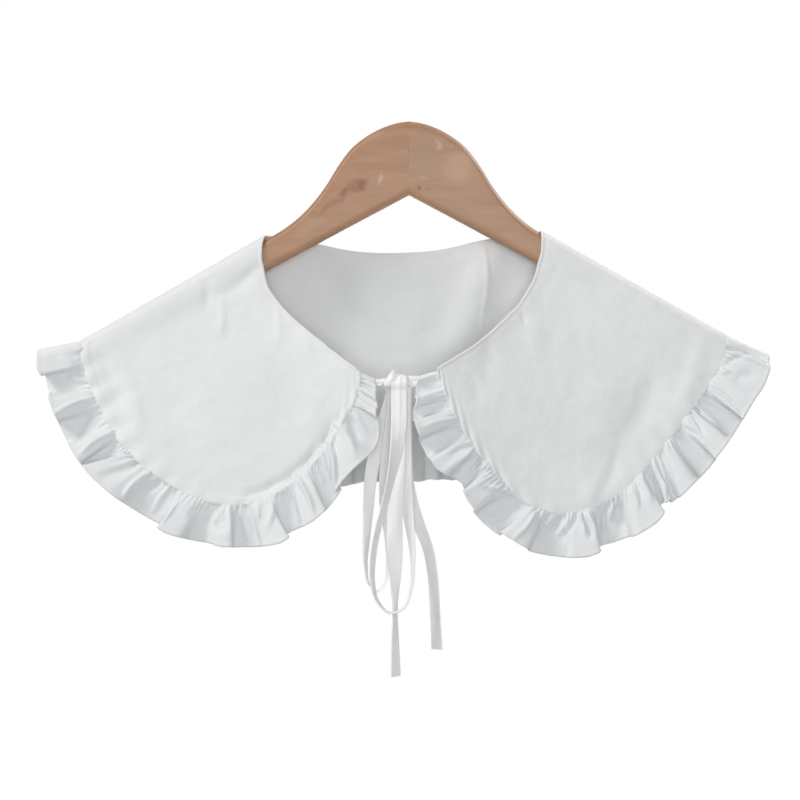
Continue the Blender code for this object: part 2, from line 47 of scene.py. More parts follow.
# Camera and stage
CAMERA_AT = (-0.0056, -1.6, -0.1727)
SENSOR = 36.0
LENS = 116.1
FLOOR_HEIGHT = -1.6
STAGE_RADIUS = 9.0
STAGE_SIDES = 64
STAGE_GREY = (0.9, 0.9, 0.9, 1.0)
PURE_WHITE = (1.0, 1.0, 1.0, 1.0)
SKY_COLOUR = (0.97, 0.985, 1.0, 1.0)
SKY_LIGHT = 0.36
LIGHTS_AIM = (0.0, 0.0, -0.17)
# Place, size, power and colour of each area light
LIGHTS = {
    "key": ((-1.8, -1.0, 1.55), 0.85, 35.0, (1.0, 0.99, 0.97)),
    "fill": ((0.1, -2.7, -0.1), 1.3, 26.0, (0.99, 1.0, 1.0)),
    "back key": ((1.8, 1.0, 1.55), 0.85, 37.0, (1.0, 0.99, 0.97)),
    "back fill": ((-0.1, 2.7, -0.1), 1.3, 24.0, (0.99, 1.0, 1.0)),
}

# Cloth of the scene: a panel is two layers with a turned edge, a ruffle is one layer with a hem
PANEL_THICKNESS = 1.1
RUFFLE_THICKNESS = 0.5
HEM_THICKNESS = 1.1
HEM_WIDTH = 1.5
HEM_EDGE = 0.3
RIM_BULGE = 0.4
TIE_THICKNESS = 0.9
TIE_WIDTH = 9.5
FOLD_GAP = 0.3

# The hanger
HANGER_THICKNESS = 12.0
HANGER_EDGE_RADIUS = 5.5
HANGER_HALF_SPAN = 190.0
HANGER_END_RADIUS = 8.0
HANGER_END_THICKNESS_SHARE = 0.45
HANGER_NOTCH = -45.9
HANGER_LOWER_SLOPE = 0.532
HANGER_CORNER_STEPS = 8
HANGER_STEP = 2.5
HANGER_END_TURNS = range(10, 90, 10)
ROUNDEST = {"height": 0.95, "width": 0.92}
SHARP_ANGLE = 50.0

# How the cloth rolls over the arms
ROLL_RADIUS = 7.25
ROLL_ANGLES = (0.0, 22.5, 45.0, 67.5)
RIDGE = {
    "left": {"at": 89.3, "height": -71.0, "slope": 0.575},
    "right": {"at": 81.5, "height": -68.05, "slope": 0.563},
}

# Upper edge of the hanger: distance from its middle, height
HANGER_TOP = (
    (0.0, 0.0),
    (7.0, -1.0),
    (17.0, -4.3),
    (28.0, -10.5),
    (37.0, -18.3),
    (44.0, -27.9),
    (52.0, -40.8),
    (60.0, -51.2),
    (71.0, -62.0),
    (80.0, -68.4),
    (86.0, -71.9),
    (120.0, -91.0),
    (190.0, -130.4),
)

# One row for each section across the cloth, from the shoulder to the front tip.
# neck, seam and hem are x and z of the neckline, of the ruffle's seam and of its hem;
# the last three numbers say how far each stands in front of the arm's side.
FRONT_LEFT = (
    ("shoulder", -91.1, -80.9, -202.7, -142.9, -228.5, -150.4, 0.0, 0.0, 0.0),
    ("arm", -89.9, -90.8, -200.3, -154.7, -226.9, -159.0, 0.0, 1.0, 2.0),
    ("outer high", -87.4, -102.0, -195.3, -167.7, -221.3, -173.9, 1.0, 3.0, 5.0),
    ("outer", -83.1, -109.4, -188.5, -180.7, -214.2, -188.2, 2.5, 5.0, 7.5),
    ("outer low", -77.5, -116.3, -180.4, -195.0, -204.0, -206.8, 4.5, 8.0, 11.0),
    ("round high", -71.3, -122.5, -166.8, -209.9, -188.5, -224.8, 7.0, 12.0, 15.0),
    ("round", -65.1, -128.0, -150.0, -222.3, -164.9, -243.4, 9.5, 15.0, 18.0),
    ("lowest outer", -58.9, -133.0, -129.6, -232.8, -138.9, -256.4, 12.0, 17.5, 20.5),
    ("lowest", -53.3, -137.3, -107.9, -237.2, -108.5, -262.0, 14.0, 19.0, 22.0),
    ("lowest inner", -48.4, -141.7, -87.4, -232.8, -78.7, -258.5, 16.0, 20.5, 24.0),
    ("inner round", -44.0, -144.8, -68.8, -221.7, -53.9, -244.6, 18.0, 22.0, 25.5),
    ("inner low", -40.3, -147.9, -52.1, -204.3, -34.1, -221.7, 19.5, 23.0, 26.5),
    ("inner", -36.6, -150.4, -39.7, -185.1, -19.2, -199.3, 21.0, 23.5, 27.0),
    ("inner high", -34.1, -152.2, -32.2, -171.4, -19.6, -180.1, 22.0, 23.5, 27.0),
    ("tip", -32.2, -153.1, -28.8, -156.6, -21.0, -159.9, 22.5, 23.0, 25.5),
)
FRONT_RIGHT = (
    ("shoulder", 81.8, -78.4, 196.3, -140.4, 222.0, -152.2, 0.0, 0.0, 0.0),
    ("arm", 80.0, -87.1, 193.4, -150.6, 218.2, -164.0, 0.0, 1.0, 2.0),
    ("outer high", 78.1, -94.6, 186.4, -162.3, 211.4, -174.5, 1.0, 3.0, 5.0),
    ("outer", 75.6, -100.8, 175.5, -177.0, 200.9, -191.9, 2.0, 5.0, 7.5),
    ("outer low", 71.9, -107.0, 163.1, -193.8, 186.6, -210.5, 4.0, 8.0, 11.0),
    ("round high", 67.6, -113.8, 149.4, -209.9, 169.9, -227.9, 6.0, 11.5, 14.5),
    ("round", 62.0, -119.4, 133.9, -226.6, 150.0, -247.7, 8.5, 14.5, 17.5),
    ("lowest outer", 55.8, -125.6, 115.3, -237.8, 124.0, -263.8, 11.0, 17.0, 20.0),
    ("lowest", 49.0, -131.8, 96.7, -242.4, 96.1, -268.8, 13.5, 19.0, 22.0),
    ("lowest inner", 42.2, -137.3, 79.4, -239.6, 70.7, -265.1, 15.5, 20.5, 24.0),
    ("inner round", 36.0, -141.7, 62.6, -229.7, 47.1, -248.9, 17.5, 22.0, 25.5),
    ("inner low", 29.8, -145.4, 47.1, -211.7, 29.1, -226.6, 19.0, 23.0, 26.5),
    ("inner", 24.8, -148.5, 33.5, -192.5, 12.4, -204.9, 20.5, 23.5, 27.0),
    ("inner high", 20.5, -151.0, 24.8, -175.8, 3.7, -185.1, 22.0, 23.5, 27.0),
    ("tip", 17.05, -153.5, 16.8, -156.6, 5.6, -160.6, 22.5, 23.0, 25.5),
)
# The same for the back, from the left shoulder round to the right one, standing behind the arms
BACK = (
    ("left shoulder", -77.5, -72.4, -202.4, -144.2, -227.8, -152.0, 0.0, 0.0, 0.0),
    ("left arm", -68.0, -74.0, -198.5, -158.0, -222.5, -169.0, 0.5, 1.5, 3.0),
    ("left outer", -55.2, -76.3, -186.0, -174.5, -205.0, -193.0, 1.5, 4.5, 8.0),
    ("left low", -44.0, -78.6, -163.0, -187.5, -175.0, -211.5, 3.0, 8.5, 12.5),
    ("left round", -32.9, -80.3, -128.0, -195.5, -134.0, -221.5, 4.0, 12.5, 16.5),
    ("left middle", -18.0, -81.2, -72.0, -199.5, -74.0, -226.5, 5.0, 16.5, 20.5),
    ("middle", 0.0, -80.9, 0.0, -196.5, 0.0, -223.5, 5.5, 19.0, 23.0),
    ("right middle", 17.0, -79.6, 68.0, -194.5, 70.0, -221.5, 5.0, 16.5, 20.5),
    ("right round", 31.0, -76.8, 124.0, -191.0, 131.0, -217.0, 4.0, 12.5, 16.5),
    ("right low", 43.0, -73.8, 156.0, -184.0, 169.0, -207.5, 3.0, 8.5, 12.5),
    ("right outer", 54.0, -72.0, 179.0, -171.5, 197.5, -190.5, 1.5, 4.5, 8.0),
    ("right arm", 65.0, -71.9, 191.5, -156.0, 215.0, -168.0, 0.5, 1.5, 3.0),
    ("right shoulder", 75.5, -72.4, 196.6, -142.0, 221.0, -153.0, 0.0, 0.0, 0.0),
)
# x of the neckline where it rolls over each arm, at each of ROLL_ANGLES
NECK_ROLL = {
    "front left": (-89.3, -89.6, -90.2, -90.8),
    "front right": (81.5, 81.7, 81.9, 82.0),
    "back left": (-89.3, -88.3, -85.8, -82.0),
    "back right": (81.5, 81.0, 80.0, 78.4),
}
SEAM_END = {"left": -202.0, "right": 196.5}
HEM_END = {"left": (-228.2, -142.9), "right": (221.3, -144.5)}

# Ruffle folds along the seam, from the shoulder: crest, next trough, how far the hem of each
# leans towards the tip, and how far the hem of each reaches past the even hem
FOLDS_LEFT = (
    (15.0, 30.0, 4.0, -7.0, 0.0, -3.0),
    (43.0, 55.0, 1.0, 0.0, 0.0, 0.0),
    (66.0, 74.0, 5.0, 1.5, 0.5, 0.0),
    (88.0, 117.0, -5.0, 4.0, 0.5, -3.0),
    (131.0, 146.0, -5.5, -1.0, 1.0, -1.5),
    (152.5, 161.0, 0.0, -0.5, 0.5, -0.5),
    (172.0, 188.0, 5.5, -5.0, 1.5, -4.0),
    (201.0, 219.0, -4.5, -10.0, -1.0, -3.0),
    (236.0, 253.0, -17.0, 4.0, -4.5, 0.0),
    (259.5, 264.5, 1.5, 0.0, 0.0, 0.0),
    (268.5, 271.5, 0.5, 0.0, 0.0, 0.0),
)
FOLDS_RIGHT = (
    (35.0, 49.0, 8.0, 1.0, -0.5, -0.5),
    (61.0, 75.0, 9.0, 2.0, -0.5, 0.0),
    (84.0, 93.0, 15.0, 13.0, 0.0, -2.0),
    (96.0, 100.0, 11.5, 11.0, -4.0, -6.0),
    (112.0, 138.0, 8.0, 6.5, 0.5, -5.0),
    (150.0, 169.0, 3.0, 2.0, 0.5, -2.0),
    (179.0, 189.0, 6.0, 9.5, -2.5, -1.0),
    (213.0, 229.0, 2.0, -6.5, -0.5, -5.5),
    (237.0, 248.0, 0.0, 1.0, 2.5, 1.0),
    (256.5, 265.5, 4.0, 3.0, 1.0, 0.5),
    (272.0, 277.5, 2.0, 1.0, 0.0, 0.0),
)
BACK_FOLD_PITCH = 21.0
BACK_UNEVEN = 0.16
BACK_UNEVEN_TURN = 2.4
BACK_RIPPLE_TURN = 5.1
BACK_CREST_AT = 0.28
BACK_TROUGH_AT = 0.76
BACK_LEAN = 4.5
BACK_LEAN_TURN = 1.7
BACK_LEAN_START = 0.6
BACK_REACH = 1.5
BACK_REACH_TURN = 2.9

FOLD_HEIGHT = 6.4
FOLD_HEIGHT_PER_WIDTH = 0.23
FULL_HEIGHT_PITCH = 16.0
LOWEST_PITCH_SHARE = 0.35
FOLD_NARROWING = 0.09
SEAM_SHARE = 0.1
FLATNESS = 0.4
HEM_RISE = 0.72
CALM_END = 6.0
ALONG_STEP = 0.5

# Soft creases of the panels, as x and z of both ends, half width and height.
# A height above 0 is a ridge towards the front, and one below 0 a trough.
CREASES_LEFT = (
    ("groove under the shoulder", -126.0, -97.0, -125.0, -117.0, 3.2, -1.0),
    ("thin ridge beside it", -116.5, -112.0, -116.0, -132.0, 2.0, 0.7),
    ("from the neck corner", -94.0, -91.0, -116.0, -108.0, 4.5, -1.1),
    ("shoulder hollow", -184.0, -119.0, -164.0, -146.0, 7.0, -0.9),
    ("outer hollow", -195.0, -141.0, -176.0, -185.0, 5.0, -0.9),
    ("outer ridge", -172.0, -165.0, -166.0, -196.0, 5.0, 1.0),
    ("low hollow", -150.0, -170.0, -134.0, -204.0, 10.0, -1.1),
    ("neck pucker", -81.5, -115.0, -81.0, -139.0, 2.2, 0.4),
    ("neck pucker low", -64.0, -130.0, -62.0, -143.0, 2.5, 0.35),
    ("inner hollow", -84.0, -150.0, -75.0, -172.0, 8.0, -0.6),
    ("inner ridge", -56.0, -162.0, -62.0, -190.0, 8.0, 0.7),
    ("turned edge high", -45.5, -186.0, -66.0, -212.5, 3.6, -1.5),
    ("turned edge low", -62.0, -210.5, -99.0, -232.0, 3.6, -1.5),
)
CREASES_RIGHT = (
    ("ridge from the neck", 72.0, -108.0, 78.0, -150.0, 6.0, 0.5),
    ("neck groove", 48.0, -130.0, 46.0, -162.0, 5.0, -0.4),
    ("tip groove", 38.0, -158.0, 42.0, -172.0, 4.0, -0.5),
    ("neck dash", 69.0, -119.0, 71.0, -127.0, 1.8, -0.4),
    ("outer ridge", 181.0, -136.0, 160.0, -186.0, 6.0, 1.0),
    ("outer hollow", 152.0, -158.0, 131.0, -197.0, 8.0, -1.2),
    ("low groove", 127.0, -206.0, 119.0, -228.0, 4.0, -0.8),
    ("shoulder hollow", 108.0, -98.0, 150.0, -126.0, 8.0, -0.7),
    ("middle ridge", 118.0, -160.0, 108.0, -205.0, 12.0, 0.8),
    ("low ridge", 112.0, -222.0, 109.0, -235.0, 5.0, 0.6),
)
CREASES_BACK = (
    ("left trough", -62.0, -84.0, -36.0, -150.0, 15.0, -4.6),
    ("left ridge", -92.0, -104.0, -72.0, -156.0, 10.0, 2.6),
    ("right ridge", 50.0, -78.0, 20.0, -150.0, 12.0, 2.2),
    ("right trough", 66.0, -86.0, 46.0, -140.0, 10.0, -0.4),
    ("thin fold", 46.5, -73.0, 46.0, -122.0, 1.3, 0.5),
    ("middle fold", 2.0, -120.0, -4.0, -190.0, 14.0, 1.6),
    ("left side fold", -140.0, -125.0, -100.0, -185.0, 13.0, 2.2),
    ("left side hollow", -118.0, -110.0, -76.0, -185.0, 12.0, -2.4),
    ("right side fold", 138.0, -120.0, 104.0, -180.0, 13.0, 2.2),
    ("right side hollow", 114.0, -108.0, 78.0, -180.0, 12.0, -2.4),
    ("low hollow", -36.0, -170.0, -30.0, -196.0, 8.0, -1.0),
)

CREASE_SCALE = 1.5
RUFFLE_CREASE_SCALE = 1.45
# Bow of a crease as a share of its length, and the shares of it over which it rises and fades
CREASE_BEND = 0.06
CREASE_RISE = (-0.35, 0.3)
CREASE_FALL = (0.6, 1.3)
# Billows of a panel: lengths along x and z, shift between panels, heights and turns
BILLOW_LENGTHS = (31.0, 37.0)
BILLOW_SHIFT = 0.7
BILLOW_HEIGHTS = (0.5, 0.3)
BILLOW_WARP = 0.8
BILLOW_WAIST = 1.3
BILLOW_CROSS = (2.1, 1.2)

# Panels: turned neckline with a groove beside it, seam allowance band and puckers along the seam.
# A wave is slow unevenness along a strip: its height, length and shift with the strip's seed.
NECK_ROLL_WIDTH = 0.6
NECK_ROLL_HEIGHT = 0.4
GROOVE_SHARE = 0.3
GROOVE_AT = 2.6
GROOVE_WIDTH = 0.9
BAND_WIDTH = 5.6
BAND_HEIGHT = {"front_left": 0.42, "front_right": 0.06, "back": 0.3}
BAND_EDGE = 0.6
EDGE_TURN = 0.6
EDGE_TURN_REACH = 0.7
PUCKER_PITCH = 14.0
PUCKER_HEIGHT = 0.8
PUCKER_REACH = 11.0
PUCKER_FALL = 1.5
PUCKER_DRIFT = (1.3, 23.0, 0.0)
PUCKER_LEAST = 0.6
PUCKER_WAVE = (0.4, 31.0, 0.0)
LOOSE_FROM = 2.0
LOOSE_OVER = 8.0
CALM_EDGE = 10.0
PANEL_STEP = 1.6
PANEL_ROWS = 96
EVEN_ROWS = 0.35
PANEL_SEED = 1.7

# Creases across the ruffles, in the same form as those of the panels
RUFFLE_CREASES_LEFT = (
    ("first leaf crumple", -213.9, -147.2, -205.2, -152.8, 1.8, 0.8),
    ("second leaf crumple", -209.6, -157.8, -201.5, -161.5, 1.8, 1.0),
    ("second leaf shade", -217.6, -169.6, -196.5, -165.2, 3.2, -1.2),
    ("third leaf edge", -216.4, -181.6, -193.4, -171.4, 1.2, 1.4),
    ("third leaf hollow", -205.2, -193.8, -195.3, -176.4, 4.5, -1.6),
    ("third leaf tuck", -192.8, -191.3, -186.0, -183.8, 1.3, 0.9),
    ("fourth leaf ridge", -200.9, -206.8, -182.9, -192.8, 1.6, 1.3),
    ("big leaf shade", -186.6, -219.8, -166.8, -216.7, 3.6, -1.3),
    ("big leaf pocket", -169.3, -213.0, -161.8, -209.2, 2.4, -1.6),
    ("big leaf ring", -173.6, -232.2, -164.3, -220.4, 1.7, 1.3),
    ("big leaf ring top", -164.3, -220.4, -155.6, -216.1, 1.4, 1.0),
    ("big leaf crumple", -163.1, -228.5, -149.4, -223.5, 2.0, -1.3),
    ("big leaf far ridge", -156.9, -240.2, -145.7, -224.8, 1.6, 1.3),
    ("overlap edge", -140.1, -228.5, -149.2, -246.8, 1.2, 1.2),
    ("fifth leaf hollow", -133.3, -244.6, -128.3, -237.2, 2.6, -0.9),
    ("fifth leaf fold", -126.5, -258.2, -119.0, -239.6, 2.2, -1.4),
    ("sixth leaf arc", -118.4, -247.1, -113.5, -239.6, 1.4, 1.0),
    ("sixth leaf point", -109.7, -239.6, -107.9, -253.9, 1.5, 1.3),
    ("sixth leaf hollow", -114.1, -253.3, -114.1, -245.8, 2.4, -1.1),
    ("seventh leaf edge", -101.1, -239.0, -96.1, -252.0, 1.2, 1.4),
    ("seventh leaf shade", -102.9, -257.0, -102.9, -244.6, 2.2, -1.2),
    ("seventh leaf gather", -91.8, -235.9, -91.8, -245.8, 1.4, 1.0),
    ("seventh leaf ridge", -81.8, -231.6, -85.6, -249.6, 1.8, 1.3),
    ("eighth leaf shade", -71.3, -250.8, -71.3, -230.9, 3.2, -1.3),
    ("eighth leaf ridge", -67.0, -221.0, -57.0, -243.3, 1.4, 1.4),
    ("eighth leaf tuck", -57.0, -213.6, -52.7, -223.5, 1.6, 1.0),
    ("eighth leaf far ridge", -53.3, -208.6, -49.0, -221.0, 1.4, 0.9),
    ("tip leaf edge", -49.2, -196.5, -45.0, -226.5, 1.5, 2.2),
    ("tip leaf hollow low", -45.9, -202.4, -42.8, -191.3, 2.0, -1.5),
    ("tip leaf ridge", -41.5, -187.8, -32.4, -205.2, 2.0, 1.2),
    ("tip leaf hollow high", -31.0, -196.2, -36.6, -185.1, 2.0, -1.4),
    ("tip leaf corner", -26.7, -191.3, -32.9, -178.9, 1.6, 0.9),
)
RUFFLE_CREASES_RIGHT = (
    ("over the back ruffle", 195.3, -140.4, 223.8, -151.6, 1.5, -2.4),
    ("below the back ruffle", 196.5, -143.2, 220.1, -153.4, 1.4, 1.0),
    ("first leaf crumple", 194.7, -151.6, 206.5, -145.4, 1.8, -1.1),
    ("first leaf fold", 191.6, -156.6, 197.8, -155.3, 1.4, 0.9),
    ("first leaf hollow", 201.5, -160.9, 212.7, -157.8, 3.6, -1.1),
    ("first leaf edge", 185.4, -164.6, 205.2, -182.6, 1.0, -1.4),
    ("second leaf tuck", 175.5, -177.0, 179.8, -181.3, 1.2, -1.3),
    ("second leaf fold", 173.0, -181.3, 180.4, -193.8, 1.2, -1.5),
    ("second leaf ridge", 179.8, -176.4, 190.3, -191.3, 2.4, 0.8),
    ("third leaf edge", 170.5, -190.0, 187.9, -208.0, 1.2, -1.5),
    ("third leaf tuck", 164.3, -192.5, 166.8, -196.2, 1.2, 0.9),
    ("fourth leaf edge", 156.2, -206.2, 161.2, -230.9, 1.4, -1.7),
    ("narrow leaf", 153.8, -208.6, 156.2, -230.9, 1.2, 1.3),
    ("fifth leaf edge", 148.8, -216.1, 154.1, -234.7, 1.6, -1.8),
    ("fifth leaf gather", 141.4, -222.3, 147.6, -234.7, 1.6, 1.2),
    ("fifth leaf gather low", 135.8, -227.8, 139.5, -238.4, 1.4, 1.1),
    ("fifth leaf tuck", 139.5, -224.8, 142.0, -233.4, 1.2, -1.2),
    ("fifth leaf hollow", 130.8, -250.8, 131.4, -233.4, 4.0, -1.7),
    ("sixth leaf bar", 122.8, -244.6, 127.1, -233.4, 1.4, 1.3),
    ("sixth leaf shade", 120.9, -254.5, 119.0, -240.9, 2.2, -1.6),
    ("sixth leaf edge", 117.2, -265.7, 117.2, -240.9, 1.2, 1.2),
    ("fan first", 109.1, -243.3, 114.7, -254.5, 1.4, 1.2),
    ("fan first shade", 106.0, -244.6, 110.4, -257.0, 1.4, -1.5),
    ("fan second", 103.5, -242.1, 106.6, -254.5, 1.4, 1.4),
    ("fan second shade", 102.3, -240.9, 94.9, -255.8, 1.4, -1.7),
    ("fan third", 98.6, -242.1, 90.5, -254.5, 1.5, 1.4),
    ("fan third shade", 93.6, -242.1, 86.2, -253.3, 1.5, -1.5),
    ("fan fourth", 88.7, -242.1, 82.5, -249.6, 1.4, 1.1),
    ("fan fourth shade", 78.1, -242.1, 82.5, -259.5, 2.0, -1.7),
    ("seventh leaf edge", 75.6, -242.4, 62.9, -256.7, 1.1, 1.5),
    ("seventh leaf shade", 69.4, -236.5, 49.0, -245.8, 2.2, -1.6),
    ("eighth leaf crumple", 50.2, -225.4, 64.5, -230.9, 1.8, 1.3),
    ("eighth leaf crumple low", 46.5, -227.2, 56.4, -233.4, 1.6, -1.1),
    ("eighth leaf fold", 39.1, -214.8, 51.5, -212.3, 1.8, 1.2),
    ("ninth leaf edge", 44.6, -207.4, 36.0, -217.3, 1.4, -1.6),
    ("ninth leaf tuck", 26.7, -204.9, 39.1, -199.9, 1.6, -1.2),
    ("ninth leaf ridge", 22.9, -214.8, 40.3, -204.9, 2.4, 1.0),
    ("tenth leaf edge", 9.3, -188.8, 27.9, -184.4, 1.4, 1.0),
    ("tenth leaf hollow", 11.8, -197.5, 31.6, -191.3, 3.6, -1.1),
    ("tip shade", 8.1, -177.6, 24.2, -172.7, 4.0, -0.9),
)

# Ruffle: fine gathers under the seam, and middle folds that fan out of it
GATHER_PITCH = 3.4
GATHER_HEIGHT = 0.7
GATHER_REACH = 5.2
GATHER_FALL = 1.4
GATHER_DRIFT = (3.1, 7.3, 1.0)
GATHER_RIPPLE = (1.7, 3.1, 0.0)
GATHER_WAVE = (0.4, 4.3, 1.0)
CLUSTER_LEAST = 0.35
CLUSTER_WAVE = (1.0, 12.5, 1.7)
REACH_LEAST = 0.75
REACH_WAVE = (1.0, 5.7, 2.0)
MIDDLE_PITCH = 7.4
MIDDLE_HEIGHT = 0.65
MIDDLE_DRIFT = (1.6, 9.1, 3.0)
MIDDLE_RIPPLE = (0.9, 4.9, 1.0)
MIDDLE_FAN = (0.9, 13.0, 1.0)
MIDDLE_LEAST = 0.55
MIDDLE_WAVE = (0.45, 15.0, 2.2)
MIDDLE_RISE = (0.0, 0.18)
MIDDLE_FADE = (0.3, 1.0)
MIDDLE_FADE_SHARE = 0.8
MIDDLE_POINT = 0.8
MIDDLE_SPREAD = 1.6
RUFFLE_STEP = 0.36
RUFFLE_SEED = 0.9
RUFFLE_SEED_STEP = 1.3
# The first row of a ruffle is tucked behind its panel
TUCK_LENGTH = 4.0
TUCK_DEPTH = 1.7
RUFFLE_ROWS = 30

# The bow: its knot, and the route of each stretch of tie as x, y, z and the turn of its width,
# 0 where it faces the front and 90 where it is edge-on
KNOT_CENTRE = (-6.8, -28.0, -161.0)
KNOT_HALF_WIDTH = 7.4
KNOT_SQUARENESS = 3.0
KNOT_CORE_CENTRE = (-6.6, -27.8, -161.3)
KNOT_CORE_HALF = (6.6, 3.7, 4.2)
KNOT_PLEAT = 0.06
KNOT_PLEAT_TURNS = (2.5, 8)
KNOT_LEVELS = 40
KNOT_AROUND = 64
# Pucker beside the knot: centre x, y, z, half depth, half height and lean of its top
KNOT_LOBE = (
    (-15.4, -29.0, -163.4, 0.5, 0.6, 0.0),
    (-14.4, -29.8, -162.0, 1.8, 2.4, 0.4),
    (-12.8, -30.4, -160.8, 2.6, 4.2, 1.0),
    (-10.8, -30.6, -159.8, 2.9, 5.2, 0.8),
    (-8.4, -30.0, -160.0, 2.7, 4.4, 0.2),
    (-5.6, -29.0, -160.4, 2.2, 3.4, 0.0),
    (-3.4, -28.6, -161.0, 1.4, 2.2, 0.0),
)
LOBE_STEPS = 24
LOBE_AROUND = 32
LOBE_DENT = 0.22
LOBE_DENT_TURN = 2.6
LOBE_DENT_WIDTH = 0.35
# How the ties pass behind, through and round the knot, before the stretch of that name
KNOT_PASSES = {
    "tie_left_loop": ((-12.2, -26.2, -162.5),),
    "tie_left_tail": ((-7.4, -28.0, -163.6),),
    "tie_right_loop": (
        (-1.6, -26.6, -161.2),
        (-4.8, -24.6, -163.4),
        (-6.6, -23.5, -161.0),
        (-6.6, -24.3, -159.4),
        (-6.4, -27.6, -158.4),
        (-6.0, -31.0, -159.4),
        (-6.0, -32.6, -161.8),
        (-6.1, -32.6, -164.4),
    ),
    "tie_right_tail": ((-3.9, -28.0, -163.6),),
}
KNOT_TURN_SHARE = 0.3
SPAN_SHARE = {"left": 0.36, "right": 0.6}
SPAN_DROP = 0.9
WRAP_SHARE = 0.95
SHARE_MARGIN = 0.01
SHARE_BLUR = 4
FOLDED_THICKNESS = 2.2
LEVEL_RUN = 0.35
TIE_STEP = 1.5
LEAST_TIE_STEPS = 4
RIBBON_POINTS = 19
RIBBON_EDGE_TURNS = (60, 30, 0, -30, -60)
# Slow cupping of a ribbon across its width, and its creases near the knot
CUP_WAVES = ((0.35, 19.0, 0.0), (0.2, 8.3, 1.0))
CREASE_FADE = 20.0
CREASE_FADE_POWER = 1.5
RIBBON_WAVE = {"height": 0.25, "turn": 4.4, "start": 0.9}
RIBBON_GROOVE = {"depth": 0.4, "at": 0.35, "width": 0.15}
TIE_ROUTES = {
    "tie_left_span": (
        (-31.0, -28.2, -155.6, 0.0),
        (-26.0, -27.7, -156.8, 0.0),
        (-20.5, -27.4, -159.4, 0.0),
        (-14.7, -27.6, -160.6, 0.0),
    ),
    "tie_left_loop": (
        (-9.2, -24.25, -166.4, 0.0),
        (-11.0, -23.2, -174.0, 5.0),
        (-15.0, -21.8, -186.0, 15.0),
        (-19.5, -21.2, -200.0, 25.0),
        (-23.2, -22.0, -218.0, 35.0),
        (-24.8, -22.0, -238.0, 50.0),
        (-26.2, -22.0, -258.0, 65.0),
        (-26.6, -22.0, -274.0, 80.0),
        (-24.4, -22.0, -285.5, 88.0),
        (-19.6, -22.0, -290.0, 90.0),
        (-14.9, -22.0, -285.5, 92.0),
        (-13.0, -22.3, -274.0, 100.0),
        (-13.4, -22.8, -256.0, 110.0),
        (-15.2, -23.4, -238.0, 125.0),
        (-14.2, -23.4, -218.0, 145.0),
        (-11.4, -24.0, -196.0, 168.0),
        (-9.2, -24.9, -178.0, 178.0),
        (-8.4, -25.75, -166.5, 180.0),
    ),
    "tie_left_tail": (
        (-6.4, -30.25, -166.6, 0.0),
        (-6.4, -30.3, -182.0, 0.0),
        (-6.8, -30.3, -205.0, -4.0),
        (-7.6, -30.3, -225.0, -6.0),
        (-8.6, -30.2, -242.0, -8.0),
        (-8.6, -29.8, -260.0, 0.0),
        (-8.4, -29.0, -280.0, 45.0),
        (-8.6, -28.0, -300.0, 74.0),
        (-8.6, -27.6, -318.0, 64.0),
        (-8.2, -27.2, -341.2, 52.0),
    ),
    "tie_right_span": (
        (18.6, -28.2, -156.4, 0.0),
        (12.5, -27.7, -157.2, 0.0),
        (6.5, -27.4, -159.2, 0.0),
        (1.1, -27.6, -160.4, 0.0),
    ),
    "tie_right_loop": (
        (-6.2, -31.75, -166.3, 0.0),
        (-6.2, -33.0, -176.0, 0.0),
        (-6.4, -34.6, -190.0, 12.0),
        (-7.8, -36.2, -204.0, 35.0),
        (-10.8, -37.4, -219.0, 58.0),
        (-14.6, -38.0, -235.0, 66.0),
        (-19.0, -38.0, -251.0, 68.0),
        (-22.0, -38.0, -268.0, 70.0),
        (-22.4, -38.0, -282.0, 75.0),
        (-19.2, -38.0, -294.5, 83.0),
        (-12.0, -38.0, -301.6, 90.0),
        (-3.6, -37.6, -298.6, 92.0),
        (1.0, -36.6, -288.0, 96.0),
        (2.2, -35.2, -274.0, 102.0),
        (1.4, -33.0, -258.0, 115.0),
        (-0.8, -30.6, -241.0, 135.0),
        (-2.6, -29.2, -222.0, 158.0),
        (-3.4, -28.8, -202.0, 172.0),
        (-3.8, -28.75, -184.0, 178.0),
        (-4.4, -28.75, -166.7, 180.0),
    ),
    "tie_right_tail": (
        (-3.4, -27.25, -166.7, 0.0),
        (-3.2, -27.2, -184.0, -2.0),
        (-3.0, -27.1, -202.0, -6.0),
        (-1.6, -26.4, -222.0, -20.0),
        (1.6, -25.0, -236.0, -32.0),
        (6.4, -24.4, -250.0, -40.0),
        (11.6, -24.0, -264.0, -48.0),
        (14.4, -24.0, -280.0, -52.0),
        (15.8, -24.0, -302.0, -52.0),
        (17.0, -24.0, -325.0, -48.0),
    ),
}

# Looks: the colours, and the surface of the cotton and of the wood
WHITE_COTTON = (0.832, 0.837, 0.842)
# The ruffles get a darker, cooler copy of the panels' white cotton: painted cool shade
RUFFLE_SHADED_COTTON = (0.80, 0.812, 0.82)
RIBBON_COTTON = (0.97, 0.966, 0.95)
LEFT_WOOD = {"light": (0.435, 0.235, 0.130), "dark": (0.375, 0.190, 0.100)}
RIGHT_WOOD = {"light": (0.445, 0.250, 0.148), "dark": (0.390, 0.210, 0.118)}
